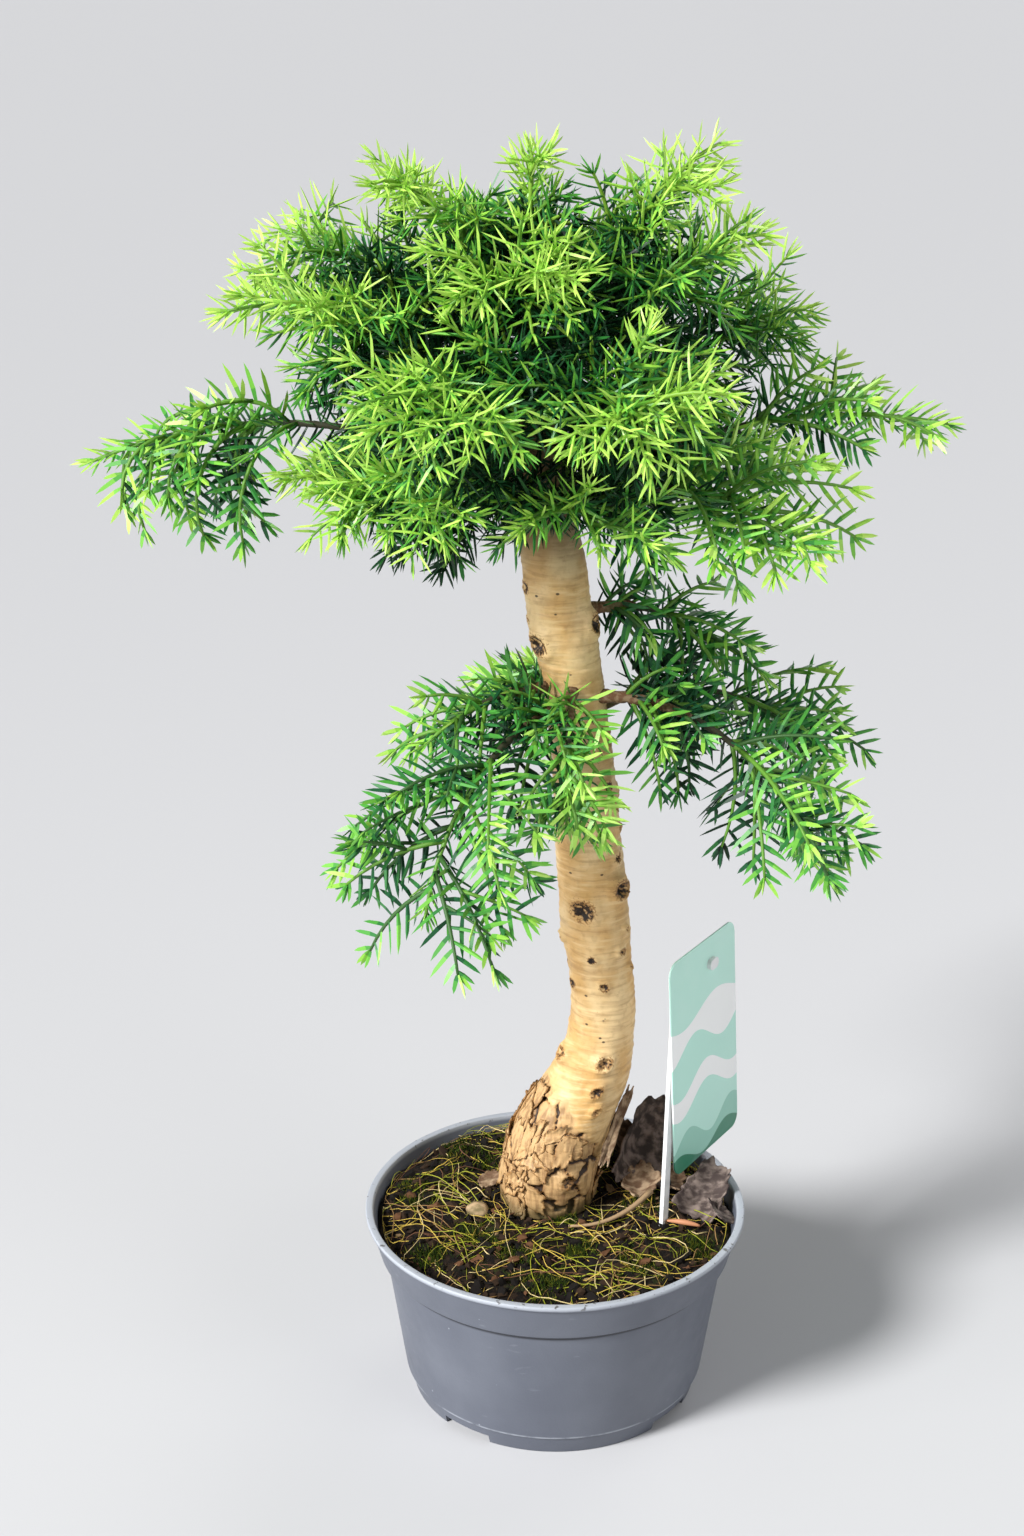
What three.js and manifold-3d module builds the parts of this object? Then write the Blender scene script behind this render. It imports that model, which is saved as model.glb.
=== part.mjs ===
// A hoop pine grown as a bonsai in a low plastic pot: pot, soil, one bare leaning trunk, boughs and
// masses of needled shoots, with a blank plant label. Millimetres, +Z up, -Y to the front. The origin
// is at the centre of the pot's flat underside.
import * as THREE from 'three';
import { mergeVertices } from 'three/addons/utils/BufferGeometryUtils.js';
import Module from 'manifold-3d';

const wasm = await Module();
wasm.setup();

// Gap kept between neighbouring pieces.
const CLEARANCE = 0.3;

// The pot: a turned shell with a rim band, a small step above its foot, and notches in the foot.
const POT = {
  rimRadius: 70,
  height: 72,
  lipHeight: 2.4,
  lipWidth: 2.6,
  bandFoot: 55.5,
  bandFootRadius: 65,
  wallTopRadius: 62.8,
  stepHeight: 7,
  stepRadius: 55.7,
  stepInset: 0.9,
  footRadius: 53,
  footWidth: 3,
  wall: 1.3,
  floor: 2,
  recess: 2.5,
  padRadius: 18,
  notches: 4,
  notchWidth: 20,
  notchHeight: 3.5,
  notchAzimuth: -37.5,
  segments: 36,
};

// The soil: level about the trunk, a little lower at the pot's wall.
const SOIL = { level: 66, edgeLevel: 64.5, levelRadius: 50 };

// The trunk, from its flat cut on the soil to its tip: height, centre and radius of its level sections.
const TRUNK_SECTIONS = [
  { z: 66.3, x: -2.6, y: 13, r: 17.6 },
  { z: 80, x: -1.4, y: 13, r: 18.4 },
  { z: 103, x: 4.8, y: 13, r: 17.8 },
  { z: 120, x: 12.6, y: 12.5, r: 14.8 },
  { z: 136, x: 16.6, y: 12, r: 12.3 },
  { z: 190, x: 13.2, y: 11, r: 12.1 },
  { z: 262, x: 6.6, y: 10, r: 10.5 },
  { z: 308, x: -0.8, y: 8, r: 11.2 },
  { z: 350, x: -7, y: 6, r: 8.5 },
  { z: 392, x: -9.5, y: 4, r: 4.2 },
];
const TRUNK = { sides: 16, steps: 25, rodLength: 12 };

// Limbs and shoots.
const BOUGH = { rootRadius: 3.2, tipRadius: 2.1, sides: 6, steps: 3 };
const STEM = { rootRadius: 2.2, tipRadius: 0.9, spacing: 10, bareShare: 0.3 };
const SHOOT = {
  rootRadius: 1.8,
  tipRadius: 1,
  spacing: 7,
  bareShare: 0.1,
  firstShare: 0.2,
  lastShare: 0.88,
  angle: 48,
  angleSpread: 8,
  roll: 30,
  lift: 8,
  droop: 34,
  rootLength: 1.08,
  shortening: 0.5,
  lengthSpread: 0.12,
};

// Needles, fewer and larger than on the living tree, in three ranks that wind round their shoot.
const NEEDLE = {
  ranks: 3,
  twist: 38,
  length: 19,
  lengthSpread: 0.14,
  tipShortening: 0.25,
  room: 1.6,
  rootAngle: 64,
  tipAngle: 24,
  point: 9,
};

// Masses of foliage. Each has one stem, which leaves the trunk at a height, in an azimuth (0 is +X, 90 is
// +Y) and at a rise, and bends down through its arch on the way to its tip. Its side shoots, the longest
// of them its reach, get shorter towards the tip, and some hang by a droop of their own. A mass with a
// bough begins where that bough ends.
const MASSES = [
  { name: 'leader', height: 391, azimuth: 200, rise: 88, length: 60, arch: -4, shoots: 4, reach: 25 },
  { name: 'top_left', height: 383, azimuth: 187, rise: 70, length: 84, arch: 34, shoots: 5, reach: 42 },
  { name: 'top_right', height: 379, azimuth: 346, rise: 66, length: 86, arch: 26, shoots: 5, reach: 46 },
  { name: 'top_front', height: 385, azimuth: 262, rise: 64, length: 58, arch: 54, shoots: 5, reach: 42 },
  { name: 'top_back', height: 380, azimuth: 92, rise: 54, length: 72, arch: 40, shoots: 4, reach: 44 },
  { name: 'high_left', height: 352, azimuth: 197, rise: 50, length: 116, arch: 38, shoots: 6, reach: 50 },
  {
    name: 'high_left_back', height: 362, azimuth: 161, rise: 58, length: 104, arch: 44,
    shoots: 5, reach: 46,
  },
  { name: 'front_left', height: 358, azimuth: 250, rise: 48, length: 108, arch: 70, shoots: 6, reach: 48 },
  { name: 'front_right', height: 350, azimuth: 291, rise: 50, length: 108, arch: 60, shoots: 6, reach: 48 },
  { name: 'high_right', height: 364, azimuth: 331, rise: 66, length: 92, arch: 48, shoots: 5, reach: 46 },
  {
    name: 'high_right_back', height: 348, azimuth: 26, rise: 44, length: 116, arch: 44,
    shoots: 5, reach: 48,
  },
  { name: 'back_right', height: 356, azimuth: 64, rise: 52, length: 104, arch: 48, shoots: 5, reach: 48 },
  { name: 'back_left', height: 352, azimuth: 126, rise: 50, length: 106, arch: 50, shoots: 5, reach: 48 },
  {
    name: 'far_left', height: 336, azimuth: 178, rise: 34, length: 158, arch: 58,
    bough: 62, shoots: 6, reach: 52, droop: 112,
  },
  {
    name: 'far_right', height: 334, azimuth: 5, rise: 34, length: 142, arch: 46,
    bough: 50, shoots: 5, reach: 40,
  },
  {
    name: 'low_right', height: 331, azimuth: 326, rise: 34, length: 106, arch: 60,
    bough: 34, shoots: 6, reach: 50,
  },
  { name: 'low_front', height: 326, azimuth: 281, rise: 44, length: 84, arch: 66, shoots: 5, reach: 42 },
  {
    name: 'low_front_left', height: 330, azimuth: 236, rise: 40, length: 94, arch: 60,
    shoots: 5, reach: 46,
  },
  { name: 'low_left', height: 325, azimuth: 205, rise: 36, length: 86, arch: 38, shoots: 5, reach: 42 },
  {
    name: 'low_back_right', height: 327, azimuth: 48, rise: 32, length: 106, arch: 54,
    shoots: 5, reach: 48,
  },
  { name: 'low_back', height: 323, azimuth: 94, rise: 32, length: 96, arch: 56, shoots: 5, reach: 46 },
  {
    name: 'low_back_left', height: 328, azimuth: 141, rise: 34, length: 100, arch: 54,
    shoots: 5, reach: 46,
  },
  {
    name: 'middle_right', height: 295, azimuth: 18, rise: 20, length: 64, arch: 74,
    bough: 24, shoots: 4, reach: 36,
  },
  {
    name: 'lower_left', height: 270, azimuth: 208, rise: 16, length: 60, arch: 54,
    bough: 24, shoots: 4, reach: 34,
  },
  {
    name: 'lower_left_front', height: 264, azimuth: 231, rise: 11, length: 106, arch: 88,
    bough: 26, shoots: 5, reach: 56,
  },
  {
    name: 'lower_front', height: 272, azimuth: 266, rise: 8, length: 62, arch: 108,
    bough: 22, shoots: 4, reach: 26,
  },
  {
    name: 'lower_right', height: 266, azimuth: 338, rise: 16, length: 108, arch: 90,
    bough: 40, shoots: 5, reach: 50,
  },
  {
    name: 'lower_right_back', height: 260, azimuth: 22, rise: 20, length: 104, arch: 70,
    bough: 42, shoots: 5, reach: 44,
  },
  {
    name: 'lower_back', height: 262, azimuth: 120, rise: 22, length: 54, arch: 58,
    bough: 24, shoots: 3, reach: 22,
  },
];

// The plant label: a card with round corners that hangs on the peg of a thin holder pushed into the soil.
const LABEL = {
  centre: [55.5, 21, 125],
  yaw: 57.7,
  lean: -3,
  width: 50,
  height: 85,
  corner: 5,
  thickness: 0.8,
  holderWidth: 4,
  holderThickness: 1.6,
  holderTilt: 8.6,
  holderFoot: -104,
  holderTop: 35,
  holderOffset: -25,
  holderCrossing: -17,
  armHeight: 32,
  armWidth: 5,
  pegOffset: 6,
  pegLength: 6.4,
  pegWidth: 4.2,
  pegFlat: 0.1,
  pegProud: 1.6,
};

const FINISHES = {
  pot: { color: 0x7d838d, roughness: 0.5, metalness: 0 },
  soil: { color: 0x2a2018, roughness: 0.95, metalness: 0 },
  trunkBark: { color: 0xc9a468, roughness: 0.7, metalness: 0 },
  boughBark: { color: 0x6f5a38, roughness: 0.8, metalness: 0 },
  needles: { color: 0x5f9a34, roughness: 0.55, metalness: 0 },
  labelCard: { color: 0xe9efec, roughness: 0.4, metalness: 0 },
  labelHolder: { color: 0xf2f3f2, roughness: 0.4, metalness: 0 },
};

const { degToRad: radians, radToDeg: degrees, lerp, clamp } = THREE.MathUtils;
const UP = new THREE.Vector3(0, 0, 1);

// A fixed value from -1 to 1 for each pair of numbers, so that every run grows the same tree.
function jitter(seed, index) {
  const wave = Math.sin(seed * 127.1 + index * 311.7) * 43758.5453;
  return 2 * (wave - Math.floor(wave)) - 1;
}

function solidFrom(geometry) {
  const plain = geometry.clone();
  plain.deleteAttribute('normal');
  plain.deleteAttribute('uv');
  const merged = mergeVertices(plain, 1e-5);
  const triangles = [];
  const index = merged.getIndex().array;
  for (let i = 0; i < index.length; i += 3) {
    const [a, b, c] = index.slice(i, i + 3);
    if (a !== b && b !== c && c !== a) triangles.push(a, b, c);
  }
  return new wasm.Manifold(new wasm.Mesh({
    numProp: 3,
    vertProperties: Float32Array.from(merged.getAttribute('position').array),
    triVerts: Uint32Array.from(triangles),
  }));
}

function fuse(geometries) {
  return geometries.map(solidFrom).reduce((whole, piece) => whole.add(piece));
}

// The main body of a fused solid, without loose scraps and with sealed hollows filled.
function mainBody(solid) {
  const bodies = solid.decompose().filter((body) => body.volume() > 0);
  return bodies.reduce((largest, body) => (body.volume() > largest.volume() ? body : largest));
}

function meshFrom(name, solid, finish) {
  const { vertProperties, triVerts } = solid.getMesh();
  const geometry = new THREE.BufferGeometry();
  geometry.setAttribute('position', new THREE.BufferAttribute(Float32Array.from(vertProperties), 3));
  geometry.setIndex(new THREE.BufferAttribute(Uint32Array.from(triVerts), 1));
  geometry.computeVertexNormals();
  const mesh = new THREE.Mesh(geometry, new THREE.MeshStandardMaterial(finish));
  mesh.name = name;
  return mesh;
}

// A turned solid from its (radius, height) profile, stood up along Z.
function turned(profile) {
  const points = profile.map(([r, z]) => new THREE.Vector2(r, z));
  return new THREE.LatheGeometry(points, POT.segments).rotateX(Math.PI / 2);
}

// Pot and soil

const bandTopRadius = POT.rimRadius - POT.lipWidth + POT.wall;
const lipFoot = POT.height - POT.lipHeight;
const innerFloor = POT.recess + POT.floor;
const wallSlope = (POT.wallTopRadius - POT.stepRadius) / (POT.bandFoot - POT.stepHeight);
const innerFloorRadius = POT.stepRadius - POT.wall + wallSlope * (innerFloor - POT.stepHeight);

function buildPot() {
  const outside = [
    [0, 0],
    [POT.padRadius, 0],
    [POT.padRadius, POT.recess],
    [POT.footRadius - POT.footWidth, POT.recess],
    [POT.footRadius - POT.footWidth, 0],
    [POT.footRadius, 0],
    [POT.stepRadius - POT.stepInset, POT.stepHeight],
    [POT.stepRadius, POT.stepHeight + POT.stepInset / 2],
    [POT.wallTopRadius, POT.bandFoot],
    [POT.bandFootRadius, POT.bandFoot + POT.stepInset],
    [bandTopRadius, lipFoot],
    [POT.rimRadius, lipFoot + POT.lipHeight / 4],
    [POT.rimRadius, POT.height - POT.lipHeight / 4],
    [POT.rimRadius - POT.lipHeight / 4, POT.height],
  ];
  const inside = [
    [POT.rimRadius - POT.lipWidth, POT.height],
    [POT.bandFootRadius - POT.wall, POT.bandFoot + POT.stepInset],
    [POT.wallTopRadius - POT.wall, POT.bandFoot],
    [innerFloorRadius, innerFloor],
    [0, innerFloor],
  ];
  let shell = solidFrom(turned([...outside, ...inside]));
  for (let i = 0; i < POT.notches; i += 1) {
    const notch = new THREE.BoxGeometry(4 * POT.footWidth, POT.notchWidth, 2 * POT.notchHeight);
    notch.translate(POT.footRadius, 0, 0);
    notch.rotateZ(radians(POT.notchAzimuth + (i * 360) / POT.notches));
    shell = shell.subtract(solidFrom(notch));
  }
  return meshFrom('pot', shell, FINISHES.pot);
}

function buildSoil() {
  const topRadius = THREE.MathUtils.mapLinear(
    SOIL.edgeLevel,
    POT.bandFoot,
    POT.height,
    POT.bandFootRadius - POT.wall,
    POT.rimRadius - POT.lipWidth,
  );
  const body = turned([
    [0, innerFloor + CLEARANCE],
    [innerFloorRadius - CLEARANCE, innerFloor + CLEARANCE],
    [POT.wallTopRadius - POT.wall - CLEARANCE, POT.bandFoot],
    [POT.bandFootRadius - POT.wall - 2 * CLEARANCE, POT.bandFoot + POT.stepInset + CLEARANCE],
    [topRadius - 2 * CLEARANCE, SOIL.edgeLevel],
    [SOIL.levelRadius, SOIL.level],
    [0, SOIL.level],
  ]);
  const slot = labelPiece(holderShaft(2 * CLEARANCE));
  return meshFrom('soil', solidFrom(body).subtract(solidFrom(slot)), FINISHES.soil);
}

// Trunk

const trunkSections = new THREE.CubicInterpolant(
  TRUNK_SECTIONS.map((section) => section.z),
  TRUNK_SECTIONS.flatMap((section) => [section.x, section.y, section.r]),
  3,
);
const trunkFoot = TRUNK_SECTIONS[0].z;
const trunkTip = TRUNK_SECTIONS[TRUNK_SECTIONS.length - 1].z;

function trunkAt(z) {
  const [x, y, r] = trunkSections.evaluate(z);
  return { centre: new THREE.Vector3(x, y, z), radius: r };
}

// The trunk is a cylinder whose level rings follow the sections, grown all over by an allowance.
function trunkGeometry(allowance) {
  const geometry = new THREE.CylinderGeometry(1, 1, 1, TRUNK.sides, TRUNK.steps).rotateX(Math.PI / 2);
  const position = geometry.getAttribute('position');
  for (let i = 0; i < position.count; i += 1) {
    const share = position.getZ(i) + 0.5;
    const { centre, radius } = trunkAt(lerp(trunkFoot, trunkTip, share));
    position.setXYZ(
      i,
      centre.x + position.getX(i) * (radius + allowance),
      centre.y + position.getY(i) * (radius + allowance),
      lerp(trunkFoot - allowance, trunkTip + allowance, share),
    );
  }
  return geometry;
}

// Limbs

function direction(azimuth, rise) {
  const level = Math.cos(radians(rise));
  return new THREE.Vector3(
    level * Math.cos(radians(azimuth)),
    level * Math.sin(radians(azimuth)),
    Math.sin(radians(rise)),
  );
}

// The middle line of a limb: an arc in a vertical plane that sets out at a rise and bends down through an
// arch.
class Arc extends THREE.Curve {
  constructor(start, azimuth, rise, length, arch) {
    super();
    Object.assign(this, { start, azimuth, rise, length, arch });
  }

  getPoint(share, target = new THREE.Vector3()) {
    const slope = radians(this.rise);
    const bend = radians(this.arch);
    const slopeHere = slope - bend * share;
    const radius = this.length / bend;
    return target
      .copy(this.start)
      .addScaledVector(direction(this.azimuth, 0), radius * (Math.sin(slope) - Math.sin(slopeHere)))
      .addScaledVector(UP, radius * (Math.cos(slopeHere) - Math.cos(slope)));
  }

  getTangent(share, target = new THREE.Vector3()) {
    return target.copy(direction(this.azimuth, this.rise - this.arch * share));
  }
}

// Evenly spaced stations on an arc between two shares of its length, each with its place, the way along
// the limb, the level way across it, and the way that is square to both.
function stations(arc, from, to, steps) {
  const across = direction(arc.azimuth + 90, 0);
  return Array.from({ length: steps + 1 }, (_, i) => {
    const share = lerp(from, to, i / steps);
    const along = arc.getTangent(share);
    return { place: arc.getPoint(share), along, across, under: across.clone().cross(along) };
  });
}

// A tapering limb: a cylinder bent along its stations, wound by a twist, with its tip drawn out to a point.
function limb(line, rootRadius, tipRadius, sides, twist = 0, point = 0) {
  const steps = line.length - 1;
  const geometry = new THREE.CylinderGeometry(1, 1, 1, sides, steps);
  const position = geometry.getAttribute('position');
  for (let i = 0; i < position.count; i += 1) {
    const step = Math.round((position.getY(i) + 0.5) * steps);
    const { place, along, across, under } = line[step];
    const offset = new THREE.Vector2(position.getX(i), position.getZ(i));
    const spot = place.clone();
    if (step === steps && offset.length() < 0.5) spot.addScaledVector(along, point);
    offset.multiplyScalar(lerp(rootRadius, tipRadius, step / steps));
    offset.rotateAround(new THREE.Vector2(), radians(twist * step));
    spot.addScaledVector(across, offset.x).addScaledVector(under, offset.y);
    position.setXYZ(i, spot.x, spot.y, spot.z);
  }
  return geometry;
}

// Room for growth: every limb and needle is kept as a rod. A new shoot has to clear the rods of the other
// masses, and a new needle also those of the other limbs of its own mass.

const rods = [];

function distanceBetween(rodA, rodB) {
  const u = rodA.to.clone().sub(rodA.from);
  const v = rodB.to.clone().sub(rodB.from);
  const w = rodA.from.clone().sub(rodB.from);
  const uu = u.dot(u);
  const uv = u.dot(v);
  const vv = v.dot(v);
  const spread = uu * vv - uv * uv;
  let s = spread > 1e-9 ? clamp((uv * v.dot(w) - vv * u.dot(w)) / spread, 0, 1) : 0;
  const t = clamp((uv * s + v.dot(w)) / vv, 0, 1);
  s = clamp((uv * t - u.dot(w)) / uu, 0, 1);
  return w.addScaledVector(u, s).addScaledVector(v, -t).length();
}

// The rods of a limb, with that of the point that its tip is drawn out to.
function rodsAlong(mass, limbName, line, radius) {
  const { place, along } = line[line.length - 1];
  const point = place.clone().addScaledVector(along, NEEDLE.point);
  const places = [...line.map((station) => station.place), point];
  return places.slice(1).map((to, i) => ({ mass, limb: limbName, from: places[i], to, radius }));
}

// Whether a rod clears all the rods that differ from it in a key, its mass or its limb.
function isClear(rod, key) {
  return rods.every((other) => (
    other[key] === rod[key] || distanceBetween(rod, other) > rod.radius + other.radius + 2 * CLEARANCE
  ));
}

function trunkRods() {
  const line = [];
  for (let z = trunkFoot; z <= trunkTip; z += TRUNK.rodLength) line.push(trunkAt(z));
  return line.slice(1).map((section, i) => ({
    mass: 'trunk',
    limb: 'trunk',
    from: line[i].centre,
    to: section.centre,
    radius: Math.max(section.radius, line[i].radius),
  }));
}

// Masses

// The stem of a mass, from the trunk's middle or from just past its bough's tip.
function growStem(spec, seed) {
  const arc = new Arc(trunkAt(spec.height).centre, spec.azimuth, spec.rise, spec.length, spec.arch);
  const boughShare = (spec.bough ?? 0) / spec.length;
  const start = spec.bough ? boughShare + CLEARANCE / spec.length : 0;
  const line = stations(arc, start, 1, Math.round(((1 - start) * spec.length) / STEM.spacing));
  const bough = spec.bough ? stations(arc, 0, boughShare, BOUGH.steps) : null;
  return { spec, seed, arc, start, line, bough, shoots: [] };
}

// Side shoots leave the stem by turns to its left and right, and droop.
function growShoots(mass) {
  const { spec, seed, arc, start } = mass;
  for (let k = 0; k < spec.shoots; k += 1) {
    const stemShare = SHOOT.firstShare + ((SHOOT.lastShare - SHOOT.firstShare) * (k + 0.5)) / spec.shoots;
    const [{ place, along, across }] = stations(arc, lerp(start, 1, stemShare), 1, 1);
    const side = across.clone().multiplyScalar(k % 2 === 0 ? 1 : -1);
    side.applyAxisAngle(along, radians(SHOOT.roll * jitter(seed, 3 * k)));
    const angle = radians(SHOOT.angle + SHOOT.angleSpread * jitter(seed, 3 * k + 1));
    const heading = along.clone().multiplyScalar(Math.cos(angle)).addScaledVector(side, Math.sin(angle));
    const azimuth = degrees(Math.atan2(heading.y, heading.x));
    const rise = degrees(Math.asin(heading.z)) + SHOOT.lift;
    const length = spec.reach
      * (SHOOT.rootLength - SHOOT.shortening * stemShare)
      * (1 + SHOOT.lengthSpread * jitter(seed, 3 * k + 2));
    const shootArc = new Arc(place, azimuth, rise, length, spec.droop ?? SHOOT.droop);
    const line = stations(shootArc, 0, 1, Math.round(length / SHOOT.spacing));
    const name = `${spec.name} ${k}`;
    const shootRods = rodsAlong(spec.name, name, line, SHOOT.rootRadius);
    if (shootRods.every((rod) => isClear(rod, 'mass'))) {
      mass.shoots.push({ name, line });
      rods.push(...shootRods);
    }
  }
}

// Draws the faces of a three-sided limb out into needles that lean towards its tip, more so near the tip.
// The bare stretch at its root has none, nor has a face whose needle would touch another limb or needle.
function needled(mass, limbName, line, { rootRadius, tipRadius, bareShare }) {
  const geometry = limb(line, rootRadius, tipRadius, NEEDLE.ranks, NEEDLE.twist, NEEDLE.point);
  const steps = line.length - 1;
  const places = Array.from(geometry.getAttribute('position').array);
  const corners = Array.from(geometry.getIndex().array);
  const sideCorners = NEEDLE.ranks * steps * 6;
  const triangles = corners.slice(sideCorners);
  const middleOf = (face) => face.reduce((sum, corner) => (
    sum.addScaledVector(new THREE.Vector3().fromArray(places, 3 * corner), 1 / face.length)
  ), new THREE.Vector3());
  for (let i = 0; i < sideCorners; i += 6) {
    const [a, b, d, , c] = corners.slice(i, i + 5);
    const step = steps - 1 - ((i / 6) % steps);
    const share = (step + 0.5) / steps;
    const { place, along } = line[step];
    const foot = middleOf([a, b, c, d]);
    const outward = foot.clone().sub(place);
    outward.addScaledVector(along, -outward.dot(along)).normalize();
    const angle = radians(lerp(NEEDLE.rootAngle, NEEDLE.tipAngle, share ** 3));
    const heading = along.clone().multiplyScalar(Math.cos(angle)).addScaledVector(outward, Math.sin(angle));
    const length = NEEDLE.length
      * (1 + NEEDLE.lengthSpread * jitter(mass.seed, i))
      * (1 - NEEDLE.tipShortening * share ** 4);
    const to = foot.clone().addScaledVector(heading, length);
    const rod = { mass: mass.spec.name, limb: limbName, from: foot, to, radius: NEEDLE.room };
    if (share > bareShare && isClear(rod, 'limb')) {
      const tip = places.length / 3;
      places.push(...to.toArray());
      triangles.push(a, b, tip, b, c, tip, c, d, tip, d, a, tip);
      rods.push(rod);
    } else {
      triangles.push(a, b, d, b, c, d);
    }
  }
  const closed = new THREE.BufferGeometry();
  closed.setAttribute('position', new THREE.Float32BufferAttribute(places, 3));
  closed.setIndex(triangles);
  return closed;
}

function buildMass(mass, trunkRoom) {
  const shoots = mass.shoots.map((shoot) => needled(mass, shoot.name, shoot.line, SHOOT));
  const stem = needled(mass, mass.spec.name, mass.line, STEM);
  const body = mainBody(fuse([stem, ...shoots]).subtract(trunkRoom));
  return meshFrom(`mass_${mass.spec.name}`, body, FINISHES.needles);
}

function buildBough(mass, trunkRoom) {
  const body = solidFrom(limb(mass.bough, BOUGH.rootRadius, BOUGH.tipRadius, BOUGH.sides));
  return meshFrom(`bough_${mass.spec.name}`, mainBody(body.subtract(trunkRoom)), FINISHES.boughBark);
}

function buildTree() {
  const tree = new THREE.Group();
  tree.add(meshFrom('trunk', solidFrom(trunkGeometry(0)), FINISHES.trunkBark));
  const trunkRoom = solidFrom(trunkGeometry(CLEARANCE));
  const masses = MASSES.map(growStem);
  for (const { spec, line, bough } of masses) {
    rods.push(...rodsAlong(spec.name, spec.name, line, STEM.rootRadius));
    if (bough) rods.push(...rodsAlong(spec.name, `${spec.name} bough`, bough, BOUGH.rootRadius));
  }
  masses.forEach(growShoots);
  rods.push(...trunkRods());
  for (const mass of masses) {
    if (mass.bough) tree.add(buildBough(mass, trunkRoom));
    tree.add(buildMass(mass, trunkRoom));
  }
  return tree;
}

// Plant label

// Turns a piece drawn about the card's centre, X across and Z up, to the label's place in the pot.
function labelPiece(geometry) {
  return geometry
    .rotateX(radians(LABEL.lean))
    .rotateZ(radians(LABEL.yaw))
    .translate(...LABEL.centre);
}

function roundedOutline(shape, width, height, corner, x, z) {
  const w = width / 2 - corner;
  const h = height / 2 - corner;
  shape.absarc(x + w, z - h, corner, -Math.PI / 2, 0);
  shape.absarc(x + w, z + h, corner, 0, Math.PI / 2);
  shape.absarc(x - w, z + h, corner, Math.PI / 2, Math.PI);
  shape.absarc(x - w, z - h, corner, Math.PI, 1.5 * Math.PI);
  return shape;
}

// A flat plate of an outline, its front at a place along -Y and its thickness behind that.
function plate(shape, front, thickness) {
  const settings = { depth: thickness, bevelEnabled: false, curveSegments: 3 };
  const geometry = new THREE.ExtrudeGeometry(shape, settings);
  return geometry.rotateX(Math.PI / 2).translate(0, front + thickness, 0);
}

function pegOutline(path, allowance) {
  const length = LABEL.pegLength + allowance;
  const width = LABEL.pegWidth + allowance;
  const corner = (width - LABEL.pegFlat) / 2;
  return roundedOutline(path, length, width, corner, LABEL.pegOffset, LABEL.armHeight);
}

const holderFront = LABEL.thickness / 2 + CLEARANCE;

function holderShaft(allowance) {
  const length = LABEL.holderTop - LABEL.holderFoot;
  const shaft = new THREE.BoxGeometry(
    LABEL.holderWidth + allowance,
    LABEL.holderThickness + allowance,
    length + allowance,
  );
  const middle = LABEL.holderFoot + length / 2;
  shaft.translate(0, holderFront + LABEL.holderThickness / 2, middle - LABEL.holderCrossing);
  return shaft.rotateY(radians(LABEL.holderTilt)).translate(LABEL.holderOffset, 0, LABEL.holderCrossing);
}

function buildLabel() {
  const label = new THREE.Group();
  const outline = roundedOutline(new THREE.Shape(), LABEL.width, LABEL.height, LABEL.corner, 0, 0);
  outline.holes.push(pegOutline(new THREE.Path(), 2 * CLEARANCE));
  const card = plate(outline, -LABEL.thickness / 2, LABEL.thickness);
  label.add(meshFrom('label_card', solidFrom(labelPiece(card)), FINISHES.labelCard));

  const rise = LABEL.armHeight - LABEL.holderCrossing;
  const armStart = LABEL.holderOffset + rise * Math.tan(radians(LABEL.holderTilt));
  const armEnd = LABEL.pegOffset + LABEL.pegLength / 2;
  const arm = new THREE.BoxGeometry(armEnd - armStart, LABEL.holderThickness, LABEL.armWidth);
  arm.translate((armStart + armEnd) / 2, holderFront + LABEL.holderThickness / 2, LABEL.armHeight);
  const pegFront = -LABEL.thickness / 2 - LABEL.pegProud;
  const pegDepth = holderFront - pegFront + LABEL.holderThickness / 2;
  const peg = plate(pegOutline(new THREE.Shape(), 0), pegFront, pegDepth);
  const holder = fuse([holderShaft(0), arm, peg].map(labelPiece));
  label.add(meshFrom('label_holder', mainBody(holder), FINISHES.labelHolder));
  return label;
}

const bonsai = new THREE.Group();
bonsai.add(buildPot(), buildSoil(), buildTree(), buildLabel());

export default bonsai;
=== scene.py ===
"""A hoop pine bonsai in a grey plastic pot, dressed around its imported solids.

Sizes are millimetres and angles are degrees until ``publish`` brings a mesh into the frame's metres.
Up is +Z, the front of the plant is -Y, and an azimuth of 0 is +X and of 90 is +Y.
"""

import logging
import math
from dataclasses import dataclass, replace
from enum import Enum
from typing import Iterable, Iterator, Sequence

import bmesh
import bpy
import numpy as np
from mathutils import Euler, Matrix, Vector, noise
from mathutils.kdtree import KDTree


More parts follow.
